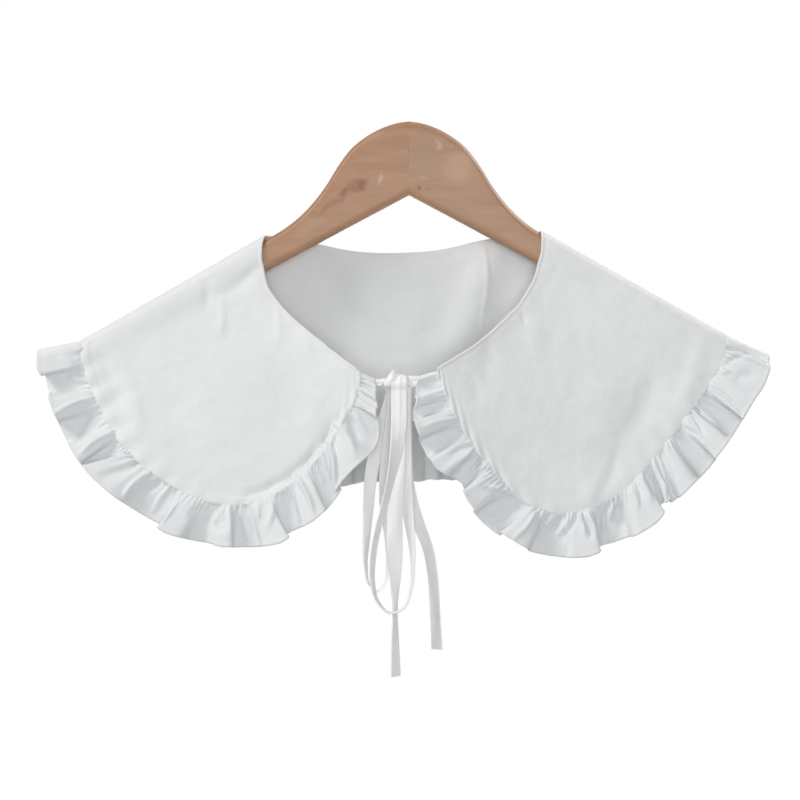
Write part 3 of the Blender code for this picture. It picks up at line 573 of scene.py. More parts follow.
# Marks on the wood, and one band of painted shade: centre x and z, half length and half width in
# millimetres, slope in degrees, strength and colour
WOOD_MARKS_AND_SHADE = {
    "hanger_left": (
        ("joint", 0.0, -23.0, 30.0, 0.5, 90.0, 0.5, (0.27, 0.14, 0.08)),
        ("red patch", -36.0, -21.0, 14.0, 10.0, 20.0, 0.5, (0.41, 0.19, 0.10)),
        ("streak", -47.0, -51.5, 19.0, 2.6, 32.0, 0.7, (0.32, 0.14, 0.07)),
        ("knot", -31.5, -41.2, 9.5, 4.6, 20.0, 0.85, (0.30, 0.13, 0.06)),
        ("knot heart", -29.0, -40.6, 3.2, 2.2, 60.0, 0.8, (0.23, 0.09, 0.05)),
        ("knot tail", -40.5, -45.0, 5.0, 2.2, 25.0, 0.8, (0.24, 0.10, 0.05)),
        ("pale fleck", -16.7, -35.0, 5.5, 2.2, 75.0, 0.7, (0.56, 0.38, 0.26)),
        ("pale top", -22.0, -10.0, 12.0, 5.0, 25.0, 0.4, (0.50, 0.31, 0.19)),
        ("pale arm", -62.0, -66.0, 14.0, 5.0, 30.0, 0.4, (0.50, 0.31, 0.18)),
    ),
    "hanger_right": (
        ("grey patch", 9.0, -22.0, 13.0, 20.0, 0.0, 0.6, (0.36, 0.22, 0.13)),
        ("light oval", 32.0, -29.0, 13.0, 15.0, -20.0, 0.75, (0.50, 0.31, 0.20)),
        # painted shade: darker along the right arm's lower edge, where its rounded edge turns away from
        # the light
        ("painted shade low band", 33.0, -61.0, 46.0, 8.0, -30.0, 0.65, (0.36, 0.20, 0.11)),
        ("dot", 5.6, -41.9, 2.2, 1.8, 0.0, 0.8, (0.22, 0.10, 0.05)),
        ("dot beside", 10.5, -42.6, 2.6, 1.2, -20.0, 0.5, (0.27, 0.14, 0.08)),
        ("pale fleck", 17.4, -14.5, 4.5, 1.6, -70.0, 0.6, (0.56, 0.39, 0.27)),
        ("pale line", 8.5, -35.5, 5.0, 1.2, -5.0, 0.45, (0.52, 0.36, 0.24)),
    ),
}
COTTON_SURFACE = {
    "Roughness": 0.88,
    "Specular IOR Level": 0.25,
    "Sheen Weight": 0.12,
    "Sheen Roughness": 0.6,
}
WOOD_SURFACE = {"Roughness": 0.5, "Coat Weight": 0.1, "Coat Roughness": 0.35}
WEAVE = {"Scale": 2.2 / MM / 6.283 * 2.0, "Distortion": 0.6, "Detail": 1.0}
SLUBS = {"Scale": 900.0, "Detail": 3.0}
CRUMPLES = {"Scale": 75.0, "Detail": 2.5, "Roughness": 0.45}
WEAVE_BUMP = {"Strength": 0.22, "Distance": 0.00012}
CRUMPLE_BUMP = {"Strength": 0.55, "Distance": 0.0022}
COTTON_TONES = {"Scale": 28.0, "Detail": 4.0}
COTTON_DIM = 0.955
COTTON_STOPS = (0.3, 0.7)
GRAIN = {"Scale": 2.0, "Detail": 7.0, "Roughness": 0.6, "Distortion": 0.6}
GRAIN_STRETCH = (14.0, 90.0, 90.0)
GRAIN_STOPS = (0.35, 0.65)
GRAIN_BUMP = {"Strength": 0.12, "Distance": 0.0002}
MARK_SWAY = {"Scale": 90.0, "Detail": 3.0}
MARK_SWAY_REACH = 0.009
MARK_SOFTNESS = 0.7


# Curves and vectors

def smooth_curve(knots, values, at):
    """Cubic Hermite curve through values at knots, read at each of at."""
    knots = np.asarray(knots, float)
    values = np.asarray(values, float)
    at = np.clip(np.asarray(at, float), knots[0], knots[-1])
    steps = np.diff(knots)
    slopes = np.diff(values, axis=0) / steps[:, None]
    tangents = np.empty_like(values)
    tangents[0] = slopes[0]
    tangents[-1] = slopes[-1]
    before = steps[:-1, None]
    after = steps[1:, None]
    tangents[1:-1] = (slopes[:-1] * after + slopes[1:] * before) / (before + after)
    span = np.clip(np.searchsorted(knots, at, side="right") - 1, 0, len(steps) - 1)
    width = steps[span][:, None]
    t = ((at - knots[span]) / steps[span])[:, None]
    start = (2 * t**3 - 3 * t**2 + 1) * values[span] + (t**3 - 2 * t**2 + t) * width * tangents[span]
    end = (3 * t**2 - 2 * t**3) * values[span + 1] + (t**3 - t**2) * width * tangents[span + 1]
    return start + end


def arc_lengths(points):
    points = np.asarray(points, float)
    return np.concatenate([[0.0], np.cumsum(np.linalg.norm(np.diff(points, axis=0), axis=1))])


def unit(vectors):
    return vectors / np.maximum(np.linalg.norm(vectors, axis=-1, keepdims=True), 1e-9)


def soft_step(low, high, values):
    t = np.clip((values - low) / (high - low), 0, 1)
    return t * t * (3 - 2 * t)


# Meshes

def faces_inward(points, faces):
    """Whether a closed body's faces turn inwards, from the volume that its quads enclose."""
    quads = np.array([face for face in faces if len(face) == 4])
    a, b, c, d = (points[quads[:, corner]] - points[0] for corner in range(4))
    return np.sum(a * (np.cross(b, c) + np.cross(c, d))) < 0


def add_mesh(name, points, faces, cloth_places=None):
    """A smooth mesh from points in millimetres, with its cloth's own lengths as a UV map in metres."""
    points = np.asarray(points, float)
    mesh = bpy.data.meshes.new(name)
    mesh.from_pydata((points * MM).tolist(), [], faces)
    mesh.shade_smooth()
    if cloth_places is not None:
        corners = np.empty(len(mesh.loops), np.int32)
        mesh.loops.foreach_get("vertex_index", corners)
        layer = mesh.uv_layers.new(name="cloth")
        layer.data.foreach_set("uv", (np.asarray(cloth_places)[corners] * MM).ravel())
    piece = bpy.data.objects.new(name, mesh)
    bpy.context.scene.collection.objects.link(piece)
    return piece


def shell_faces(rows, columns, loops):
    """Faces of a closed shell: a front grid, a back grid, and the rim's own loop of points."""
    back = rows * columns
    rim_start = 2 * back
    index = np.arange(back).reshape(rows, columns)
    a = index[:-1, :-1].ravel()
    b = index[1:, :-1].ravel()
    c = index[1:, 1:].ravel()
    d = index[:-1, 1:].ravel()
    faces = np.stack([a, b, c, d], axis=1).tolist()
    faces += (back + np.stack([a, d, c, b], axis=1)).tolist()
    count = len(loops)
    for i, here in enumerate(loops):
        j = (i + 1) % count
        after = loops[j]
        faces.append((here, rim_start + i, rim_start + j, after))
        faces.append((rim_start + i, back + here, back + after, rim_start + j))
    return faces


def cloth_shell(name, grid, thickness, cloth_places, facing):
    """A closed shell about a grid, with a round rim. facing is -1 for cloth seen from the front."""
    rows, columns = grid.shape[:2]
    normals = unit(np.cross(np.gradient(grid, axis=0), np.gradient(grid, axis=1)))
    middle = normals[rows // 2, columns // 2, 1]
    if middle * facing < 0:
        normals = -normals
    on_ridge = np.abs(grid[..., 1]) < FOLD_GAP
    normals[on_ridge, 1] = 0.0
    half = unit(normals) * (np.asarray(thickness) / 2)[..., None]
    rim = [i * columns for i in range(rows)]
    rim += [(rows - 1) * columns + j for j in range(1, columns)]
    rim += [i * columns + columns - 1 for i in range(rows - 2, -1, -1)]
    rim += [j for j in range(columns - 2, 0, -1)]
    out_rows = grid - np.concatenate([grid[1:2], grid[:-1]])
    out_rows[0] = grid[0] - grid[1]
    out_columns = grid - np.concatenate([grid[:, 1:2], grid[:, :-1]], axis=1)
    out_columns[:, 0] = grid[:, 0] - grid[:, 1]
    outward = np.zeros_like(grid)
    outward[0] += unit(out_rows[0])
    outward[-1] += unit(out_rows[-1])
    outward[:, 0] += unit(out_columns[:, 0])
    outward[:, -1] += unit(out_columns[:, -1])
    bulge = unit(outward) * (np.asarray(thickness) * RIM_BULGE)[..., None]
    bulge[on_ridge] = 0.0
    rim_points = (grid + bulge).reshape(-1, 3)[rim]
    points = np.concatenate([(grid + half).reshape(-1, 3), (grid - half).reshape(-1, 3), rim_points])
    faces = shell_faces(rows, columns, rim)
    if faces_inward(points, faces):
        faces = [face[::-1] for face in faces]
    flat = cloth_places.reshape(-1, 2)
    return add_mesh(name, points, faces, np.concatenate([flat, flat, flat[rim]]))


# The cloth's sections, as in the part

def ridge_height(side, x):
    ridge = RIDGE[side]
    return ridge["height"] - ridge["slope"] * (abs(x) - ridge["at"])


def rolled_rows(side, neck_xs, facing, hem_at_side):
    """Neck, seam and hem points where the cloth rolls over an arm, from its ridge down."""
    hem_end_x, hem_end_z = HEM_END[side]
    seam_x = SEAM_END[side]
    start = facing * FOLD_GAP / 2
    rows = []
    for angle, neck_x in zip(ROLL_ANGLES, neck_xs):
        turn = math.radians(angle)
        share = 1 - math.cos(turn)
        out = start + facing * ROLL_RADIUS * math.sin(turn)
        neck = (neck_x, out, ridge_height(side, neck_x) - ROLL_RADIUS * share)
        seam = (seam_x, out, ridge_height(side, seam_x) - ROLL_RADIUS * share)
        hem = (
            hem_end_x + (hem_at_side[0] - hem_end_x) * share,
            start + (hem_at_side[1] - start) * math.sin(turn),
            hem_end_z + (hem_at_side[2] - hem_end_z) * share,
        )
        rows.append((neck, seam, hem))
    return rows


def section_points(row, facing):
    _, neck_x, neck_z, seam_x, seam_z, hem_x, hem_z, neck_out, seam_out, hem_out = row
    side_of_arm = FOLD_GAP / 2 + ROLL_RADIUS
    return (
        (neck_x, facing * (side_of_arm + neck_out), neck_z),
        (seam_x, facing * (side_of_arm + seam_out), seam_z),
        (hem_x, facing * (side_of_arm + hem_out), hem_z),
    )


def front_sections(side, table):
    rows = [section_points(row, -1) for row in table]
    return np.array(rolled_rows(side, NECK_ROLL["front " + side], -1, rows[0][2]) + rows)


def back_sections():
    rows = [section_points(row, 1) for row in BACK]
    left = rolled_rows("left", NECK_ROLL["back left"], 1, rows[0][2])
    right = rolled_rows("right", NECK_ROLL["back right"], 1, rows[-1][2])
    return np.array(left + rows + right[::-1])


class ClothStrip:
    """Neck, seam and hem curves over the distance along the seam."""

    def __init__(self, sections):
        self.sections = sections
        self.knots = arc_lengths(sections[:, 1])
        self.length = self.knots[-1]

    def curves(self, at):
        flat = self.sections.reshape(len(self.sections), 9)
        return smooth_curve(self.knots, flat, at).reshape(-1, 3, 3)


# Panels

def sway(place, wave, seed=0.0):
    """One of the named waves, at each place along a strip."""
    height, length, shift = wave
    return height * np.sin(place / length + shift * seed)


def crease_field(grid, creases, facing):
    """Sum of soft ridges and troughs, each fading out towards its ends."""
    x = grid[..., 0]
    z = grid[..., 2]
    total = np.zeros_like(x)
    for _, x0, z0, x1, z1, half_width, height in creases:
        along = np.array([x1 - x0, z1 - z0])
        length = np.linalg.norm(along)
        along = along / length
        t = ((x - x0) * along[0] + (z - z0) * along[1]) / length
        off = (x - x0) * -along[1] + (z - z0) * along[0]
        bend = CREASE_BEND * length * np.sin(np.clip(t, 0, 1) * math.pi)
        fade = soft_step(*CREASE_RISE, t) * (1 - soft_step(*CREASE_FALL, t))
        total += height * np.exp(-(((off - bend) / half_width) ** 2)) * fade
    return total * -facing


def billow(grid, seed):
    """Slow unevenness of hanging cloth."""
    length_x, length_z = BILLOW_LENGTHS
    slow, fast = BILLOW_HEIGHTS
    cross_z, cross_x = BILLOW_CROSS
    x = grid[..., 0] / length_x + seed
    z = grid[..., 2] / length_z - BILLOW_SHIFT * seed
    broad = slow * np.sin(x + BILLOW_WARP * np.sin(z)) * np.cos(z * BILLOW_WAIST)
    return broad + fast * np.sin(cross_z * z - cross_x * x)


def panel_grid(strip, creases, facing, seed, band_height):
    stations = np.linspace(0, strip.length, round(strip.length / PANEL_STEP) + 1)
    curves = strip.curves(stations)
    neck = curves[:, 0][:, None]
    seam = curves[:, 1][:, None]
    even = np.linspace(0, 1, PANEL_ROWS + 1)
    share = (EVEN_ROWS * even + (1 - EVEN_ROWS) * (0.5 - 0.5 * np.cos(math.pi * even)))[None, :]
    grid = neck + (seam - neck) * share[..., None]
    width = np.linalg.norm(curves[:, 1] - curves[:, 0], axis=1)[:, None]
    from_neck = share * width
    from_seam = (1 - share) * width
    normals = unit(np.cross(np.gradient(grid, axis=0), np.gradient(grid, axis=1)))
    if normals[len(stations) // 2, PANEL_ROWS // 2, 1] * facing < 0:
        normals = -normals
    neck_roll = NECK_ROLL_HEIGHT * np.exp(-(((from_neck - NECK_ROLL_WIDTH) / NECK_ROLL_WIDTH) ** 2))
    neck_roll -= GROOVE_SHARE * NECK_ROLL_HEIGHT * np.exp(-(((from_neck - GROOVE_AT) / GROOVE_WIDTH) ** 2))
    band = band_height * (1 - soft_step(BAND_WIDTH - BAND_EDGE, BAND_WIDTH + BAND_EDGE, from_seam))
    turned = -EDGE_TURN * np.exp(-from_seam / EDGE_TURN_REACH)
    pucker_phase = stations / PUCKER_PITCH * 2 * math.pi + sway(stations, PUCKER_DRIFT)
    uneven = PUCKER_LEAST + sway(stations, PUCKER_WAVE)
    pucker = PUCKER_HEIGHT * (np.sin(pucker_phase) * uneven)[:, None]
    pucker = pucker * np.exp(-((from_seam / PUCKER_REACH) ** PUCKER_FALL))
    loose = np.clip((np.abs(grid[..., 1]) - LOOSE_FROM) / LOOSE_OVER, 0, 1)
    edge = soft_step(0.0, CALM_EDGE, np.minimum(from_neck, from_seam))
    soft = (CREASE_SCALE * crease_field(grid, creases, facing) + billow(grid, seed) * edge) * loose
    lift = neck_roll + band + turned + pucker * loose + soft
    lift = lift * np.clip(np.abs(grid[..., 1]) / LOOSE_FROM, 0, 1)
    places = np.stack(np.broadcast_arrays(stations[:, None], from_neck), axis=-1)
    return grid + normals * lift[..., None], places


def make_panel(name, strip, creases, facing, seed, band_height):
    grid, places = panel_grid(strip, creases, facing, seed, band_height)
    thickness = np.full(grid.shape[:2], PANEL_THICKNESS)
    panel = cloth_shell(name, grid, thickness, places, facing)
    panel.data.materials.append(cotton(name, WHITE_COTTON))
    return panel


# Ruffles

def fold_table(strip, folds):
    """Columns of place, phase, lean and reach. A crest is a quarter turn of phase, a trough three."""
    rows = [(0.0, 0.0, 0.0, 0.0)]
    for number, fold in enumerate(folds):
        crest, trough, crest_lean, trough_lean, crest_reach, trough_reach = fold
        rows.append((crest, number + 0.25, crest_lean, crest_reach))
        rows.append((trough, number + 0.75, trough_lean, trough_reach))
    rows.append((strip.length, float(len(folds)), 0.0, 0.0))
    return np.array(rows).T


def back_folds(length):
    count = round(length / BACK_FOLD_PITCH)
    folds = []
    for number in range(count):
        ripple = 0.5 * math.sin(BACK_RIPPLE_TURN * number + 1.0)
        uneven = BACK_UNEVEN * (math.sin(BACK_UNEVEN_TURN * number) + ripple)
        crest = (number + BACK_CREST_AT + uneven / 2) * length / count
        trough = (number + BACK_TROUGH_AT + uneven / 2) * length / count
        at_end = number in (0, count - 1)
        lean = 0.0 if at_end else BACK_LEAN * math.sin(BACK_LEAN_TURN * number + BACK_LEAN_START)
        reach = BACK_REACH + math.sin(BACK_REACH_TURN * number)
        folds.append((crest, trough, lean, -lean, reach, -reach))
    return folds


def fold_heights(curves, pitch):
    """Height of the folds at the hem, none where the strip starts over the arm."""
    width = np.linalg.norm(curves[:, 2] - curves[:, 1], axis=1)
    height = np.minimum(FOLD_HEIGHT, FOLD_HEIGHT_PER_WIDTH * width)
    off_ridge = np.minimum(1.0, np.abs(curves[:, 1, 1]) / (ROLL_RADIUS + 1.0))
    return height * off_ridge * np.clip(pitch / FULL_HEIGHT_PITCH, LOWEST_PITCH_SHARE, 1.0)


def calm_ends(place, length):
    """0 at both ends of a strip, rising to 1 within CALM_END."""
    rise = np.clip(np.minimum(place, length - place) / CALM_END, 0, 1)
    return np.sin(rise * math.pi / 2)


def outward_facing(seam, hem, before, after, share):
    """Unit vectors out of the cloth, away from the arm."""
    along = (after[:, 1] - before[:, 1]) * (1 - share) + (after[:, 2] - before[:, 2]) * share
    facing = unit(np.cross(unit(hem - seam), unit(along)))
    wrong_way = facing[:, 1] * seam[:, 1] < 0
    return np.where(wrong_way[:, None], -facing, facing)


def gathers(place, from_seam, seed):
    """Fine gathers, in clusters and uneven in spacing and length, that die out below the seam."""
    drift = sway(place, GATHER_DRIFT, seed)
    phase = place / GATHER_PITCH * 2 * math.pi + drift + sway(place, GATHER_RIPPLE)
    cluster = CLUSTER_LEAST + (1 - CLUSTER_LEAST) * sway(place, CLUSTER_WAVE, seed) ** 2
    reach = GATHER_REACH * (REACH_LEAST + REACH_LEAST * sway(place, REACH_WAVE, seed) ** 2)
    height = GATHER_HEIGHT * cluster * (1 + sway(place, GATHER_WAVE, seed))
    return height * np.sin(phase) * np.exp(-((from_seam / reach) ** GATHER_FALL))


def middle_folds(place, share, seed):
    """Narrow folds that fan out of the gathers and end before the hem."""
    drift = sway(place, MIDDLE_DRIFT, seed) + sway(place, MIDDLE_RIPPLE, seed)
    fan = share * sway(place, MIDDLE_FAN, seed)
    phase = place / MIDDLE_PITCH * 2 * math.pi + drift + fan
    uneven = MIDDLE_LEAST + sway(place, MIDDLE_WAVE, seed)
    rise = soft_step(*MIDDLE_RISE, share) * (1 - soft_step(*MIDDLE_FADE, share) * MIDDLE_FADE_SHARE)
    ridge = 1 - np.abs(np.sin(phase / 2)) ** MIDDLE_POINT * MIDDLE_SPREAD
    return MIDDLE_HEIGHT * uneven * rise * ridge


def ruffle_grid(strip, folds, creases, seed):
    places, phases, leans, reaches = fold_table(strip, folds)
    place = np.linspace(0, strip.length, round(strip.length / RUFFLE_STEP) + 1)
    phase = np.interp(place, places, phases)
    lean = np.interp(place, places, leans)
    reach = np.interp(place, places, reaches)
    pitch = np.interp(phase, phases[:-1], np.diff(places)) * 2
    wave = np.sin(2 * math.pi * phase)
    curves = strip.curves(place)
    height = fold_heights(curves, pitch)
    calm = calm_ends(place, strip.length)
    sideways = (lean - FOLD_NARROWING * pitch * np.sin(4 * math.pi * phase)) * calm
    off_ridge = np.minimum(1.0, np.abs(curves[:, 1, 1]) / ROLL_RADIUS)
    columns = []
    rows = []
    for share in np.linspace(0, 1, RUFFLE_ROWS + 1):
        rise = share**HEM_RISE
        moved = np.clip(place + sideways * rise, 0, strip.length)
        seam = strip.curves(moved)[:, 1]
        hem = strip.curves(moved)[:, 2]
        down = unit(hem - seam)
        base = seam + (hem - seam) * share + down * (reach * share**2)[:, None]
        before = strip.curves(moved - ALONG_STEP)
        after = strip.curves(moved + ALONG_STEP)
        facing = outward_facing(seam, hem, before, after, share)
        from_seam = share * np.linalg.norm(hem - seam, axis=1)
        lift = height * (SEAM_SHARE + (1 - SEAM_SHARE) * rise) * wave * (1 + FLATNESS * (1 - wave**2))
        fine = gathers(place, from_seam, seed) + middle_folds(place, share, seed)
        lift = lift + off_ridge * calm * (fine + RUFFLE_CREASE_SCALE * crease_field(base, creases, -1))
        if share == 0:
            columns.append(seam - down * TUCK_LENGTH - facing * TUCK_DEPTH)
            rows.append(np.full(len(place), -TUCK_LENGTH))
        columns.append(base + facing * lift[:, None])
        rows.append(from_seam)
    return np.stack(columns, axis=1), place, np.stack(rows, axis=1)


def make_ruffle(name, strip, folds, creases, facing, seed):
    grid, place, from_seam = ruffle_grid(strip, folds, creases, seed)
    width = from_seam[:, -1:]
    hem = soft_step(HEM_WIDTH + HEM_EDGE, HEM_WIDTH - HEM_EDGE, width - from_seam)
    thickness = RUFFLE_THICKNESS + (HEM_THICKNESS - RUFFLE_THICKNESS) * hem
    places = np.stack(np.broadcast_arrays(place[:, None], from_seam), axis=-1)
    ruffle = cloth_shell(name, grid, thickness, places, facing)
    # painted shade: the ruffle takes the darker, cooler copy of the white cotton
    ruffle.data.materials.append(cotton(name, RUFFLE_SHADED_COTTON))
    return ruffle


# Ties and bow

def stretch_frames(route):
    """Evenly spaced centres along a stretch, with the direction of the width."""
    route = np.array(route)
    knots = arc_lengths(route[:, :3])
    at = np.linspace(0, knots[-1], round(knots[-1] / TIE_STEP) + 1)
    read = smooth_curve(knots, route, at)
    centres = read[:, :3]
    turns = np.radians(read[:, 3])
    along = unit(np.gradient(centres, axis=0))
    wide = np.stack([np.cos(turns), np.sin(turns), np.zeros_like(turns)], axis=1)
    if np.all(np.abs(along[:, 2]) < LEVEL_RUN):
        wide = np.tile([0.0, 0.0, 1.0], (len(turns), 1))
    return centres, wide


def joined(before, after, name):
    """The hidden stretch between two others: through the knot, or wrapped round it."""
    passes = np.array([before[0][-1], *KNOT_PASSES[name], after[0][0]])
    knots = arc_lengths(passes)
    steps = max(LEAST_TIE_STEPS, round(knots[-1] / TIE_STEP))
    at = np.linspace(0, knots[-1], steps + 1)[1:-1]
    share = np.clip(at / knots[-1] / KNOT_TURN_SHARE, 0, 1)[:, None]
    return smooth_curve(knots, passes, at), before[1][-1] * (1 - share) + after[1][0] * share


def tie_frames(side):
    """Centres, width directions and shares of the full width along a whole tie."""
    span = stretch_frames(TIE_ROUTES["tie_" + side + "_span"])
    loop = stretch_frames(TIE_ROUTES["tie_" + side + "_loop"])
    tail_centres, tail_wide = stretch_frames(TIE_ROUTES["tie_" + side + "_tail"])
    if np.dot(loop[1][-1], tail_wide[0]) < 0:
        tail_wide = -tail_wide
    tail = (tail_centres, tail_wide)
    into_loop = joined(span, loop, "tie_" + side + "_loop")
    into_tail = joined(loop, tail, "tie_" + side + "_tail")
    stretches = (span, into_loop, loop, into_tail, tail)
    centres = np.concatenate([stretch[0] for stretch in stretches])
    wide = np.concatenate([stretch[1] for stretch in stretches])
    along = unit(np.gradient(centres, axis=0))
    wide = unit(wide - along * np.sum(wide * along, axis=1, keepdims=True))
    shares = np.ones(len(centres))
    shares[:len(span[0])] = SPAN_SHARE[side]
    shares[len(span[0]):len(span[0]) + len(into_loop[0])] = WRAP_SHARE
    window = 2 * SHARE_BLUR + 1
    shares = np.convolve(np.pad(shares, SHARE_BLUR, mode="edge"), np.ones(window) / window, mode="valid")
    return centres, wide, unit(np.cross(along, wide)), shares


def ribbon_section():
    """Outline of a flat ribbon: place across from -1 to 1, and its side from -1 to 1."""
    inner = 1 - TIE_THICKNESS / TIE_WIDTH
    flat = np.linspace(inner, -inner, RIBBON_POINTS)
    top = [(across, 1.0) for across in flat]
    bottom = [(-across, -1.0) for across in flat]
    turns = [math.radians(turn) for turn in RIBBON_EDGE_TURNS]
    right = [(inner + (1 - inner) * math.cos(turn), math.sin(turn)) for turn in turns[::-1]]
    left = [(-inner - (1 - inner) * math.cos(turn), math.sin(turn)) for turn in turns]
    return np.array(right + top + left + bottom)


def loft(sections):
    """Points and faces of a closed body through rings of points, one after another."""
    around = len(sections[0])
    faces = [tuple(range(around))]
    for i in range(len(sections) - 1):
        for j in range(around):
            a = i * around + j
            b = i * around + (j + 1) % around
            faces.append((a, a + around, b + around, b))
    last = (len(sections) - 1) * around
    faces.append(tuple(last + j for j in reversed(range(around))))
    points = np.concatenate(sections)
    if faces_inward(points, faces):
        faces = [face[::-1] for face in faces]
    return points, faces


def tie_section(outline, centre, wide_way, out, share, bow, close):
    """Points round a ribbon at one centre. share is that of its full width, where it is folded."""
    across = outline[:, 0]
    thick = TIE_THICKNESS / 2 * (1 + FOLDED_THICKNESS * (1 - share))
    wave = RIBBON_WAVE["height"] * np.sin(RIBBON_WAVE["turn"] * across + RIBBON_WAVE["start"])
    beside = (across - RIBBON_GROOVE["at"]) / RIBBON_GROOVE["width"]
    creases = wave - RIBBON_GROOVE["depth"] * np.exp(-(beside**2))
    shape = outline[:, 1] * thick + bow * (1 - across**2) + close * creases * (1 - across**4)
    dropped = share < WRAP_SHARE - SHARE_MARGIN
    reach = TIE_WIDTH / 2 * (across * share - SPAN_DROP * (1 - share) * dropped)
    return centre + wide_way * reach[:, None] + out * shape[:, None]


def make_tie(side):
    centres, wide, through, shares = tie_frames(side)
    place = arc_lengths(centres)
    outline = ribbon_section()
    from_knot = np.linalg.norm(centres - KNOT_CENTRE, axis=1)
    near = np.exp(-(np.maximum(0, from_knot - KNOT_HALF_WIDTH) / CREASE_FADE) ** CREASE_FADE_POWER)
    cup = sum(sway(place, wave, 1.0) for wave in CUP_WAVES)
    frames = zip(centres, wide, through, shares, cup, near)
    points, faces = loft([tie_section(outline, *frame_at) for frame_at in frames])
    along = np.repeat(place, len(outline))
    across = np.tile(outline[:, 0] * TIE_WIDTH / 2, len(place))
    tie = add_mesh("tie_" + side + "_ribbon", points, faces, np.stack([along, across], axis=1))
    tie.data.set_sharp_from_angle(angle=math.radians(SHARP_ANGLE))
    tie.data.materials.append(cotton(tie.name, RIBBON_COTTON))
    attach(tie, "root")
    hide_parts(*("tie_" + side + "_" + part for part in ("span", "loop", "tail")))
    return tie


def knot_core():
    """The pinched block that the ties run into, with pleats pulled towards its middle."""
    turn_x, turn_z = KNOT_PLEAT_TURNS
    sections = []
    for polar in np.linspace(0, math.pi, KNOT_LEVELS + 1)[1:-1]:
        turns = np.linspace(0, 2 * math.pi, KNOT_AROUND, endpoint=False)
        level = np.full(KNOT_AROUND, math.cos(polar))
        round_x = math.sin(polar) * np.cos(turns)
        round_y = math.sin(polar) * np.sin(turns)
        ring = np.stack([round_x, round_y, level], axis=1)
        reach = np.sum(np.abs(ring) ** KNOT_SQUARENESS, axis=1) ** (1 / KNOT_SQUARENESS)
        pleat = 1 + KNOT_PLEAT * np.sin(turn_z * ring[:, 2] + turn_x * ring[:, 0]) * np.abs(ring[:, 0])
        sections.append(ring / reach[:, None] * pleat[:, None] * KNOT_CORE_HALF + KNOT_CORE_CENTRE)
    return sections


def knot_lobe():
    """A small pucker of cloth that stands up at the knot's upper left."""
    table = np.array(KNOT_LOBE)
    knots = table[:, 0]
    at = np.linspace(knots[0], knots[-1], LOBE_STEPS)
    read = smooth_curve(knots, table, at)
    turns = np.linspace(0, 2 * math.pi, LOBE_AROUND, endpoint=False)
    sections = []
    for x, y, z, half_depth, half_height, lean in read:
        dent = 1 - LOBE_DENT * np.exp(-(((turns - LOBE_DENT_TURN) / LOBE_DENT_WIDTH) ** 2))
        up = np.sin(turns) * half_height * dent
        out = np.cos(turns) * half_depth * dent
        sections.append(np.stack([x + lean * np.sin(turns), y + out, z + up], axis=1))
    return sections


def make_knot():
    """The knot's core and its pucker, with the wrap round them made by the right tie."""
    core_points, core_faces = loft(knot_core())
    lobe_points, lobe_faces = loft(knot_lobe())
    shift = len(core_points)
    points = np.concatenate([core_points, lobe_points])
    faces = core_faces + [tuple(shift + index for index in face) for face in lobe_faces]
    knot = add_mesh("bow_knot_cloth", points, faces, points[:, [0, 2]])
    knot.data.materials.append(cotton(knot.name, RIBBON_COTTON))
    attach(knot, "root")
    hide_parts("bow_knot")
    return knot


# The hanger

def rounded_section(half_width, half_height, radius):
    """Corners of a rounded rectangle, as y and z about its middle, seen along +X."""
    points = []
    for corner, (side_y, side_z) in enumerate(((1, 1), (-1, 1), (-1, -1), (1, -1))):
        for step in range(HANGER_CORNER_STEPS + 1):
            turn = math.radians(90 * (corner + step / HANGER_CORNER_STEPS))
            y = side_y * (half_width - radius) + radius * math.cos(turn)
            z = side_z * (half_height - radius) + radius * math.sin(turn)
            points.append((y, z))
    return points


def make_hanger_half(name, side, colours):
    top_x, top_z = np.array(HANGER_TOP).T
    last = HANGER_HALF_SPAN - HANGER_END_RADIUS
    stations = list(np.linspace(0, last, round(last / HANGER_STEP) + 1))
    stations += [last + HANGER_END_RADIUS * math.sin(math.radians(turn)) for turn in HANGER_END_TURNS]
    heights = smooth_curve(top_x, top_z[:, None], stations)[:, 0]
    sections = []
    for x, top in zip(stations, heights):
        bottom = HANGER_NOTCH - HANGER_LOWER_SLOPE * x
        past = max(0.0, (x - last) / HANGER_END_RADIUS)
        shrink = math.sqrt(1 - past**2)
        thin = HANGER_END_THICKNESS_SHARE
        half_height = (top - bottom) / 2 * shrink
        half_width = HANGER_THICKNESS / 2 * (thin + (1 - thin) * shrink)
        roundest = (half_height * ROUNDEST["height"], half_width * ROUNDEST["width"])
        radius = min(HANGER_EDGE_RADIUS, *roundest)
        middle = (top + bottom) / 2
        ring = rounded_section(half_width, half_height, radius)
        sections.append(np.array([(side * x, y, middle + z) for y, z in ring]))
    points, faces = loft(sections)
    half = add_mesh(name + "_wood", points, faces)
    half.data.set_sharp_from_angle(angle=math.radians(SHARP_ANGLE))
    half.data.materials.append(wood(name, side, colours))
    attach(half, "root")
    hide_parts(name)
    return half


# Materials


def new_material(name):
    material = bpy.data.materials.new(name)
    material.use_nodes = True
    return material, material.node_tree.nodes, material.node_tree.links


def set_inputs(shader, values):
    for key, value in values.items():
        shader.inputs[key].default_value = value


def node(nodes, kind, values=None):
    made = nodes.new(kind)
    set_inputs(made, values or {})
    return made


def link(links, source, out, target, into):
    links.new(source.outputs[out], target.inputs[into])


def colour_ramp(nodes, stops):
    stops = tuple(stops)
    ramp = nodes.new("ShaderNodeValToRGB")
    for element, (position, colour) in zip(ramp.color_ramp.elements, stops):
        element.position = position
        element.color = (*colour, 1.0)
    return ramp


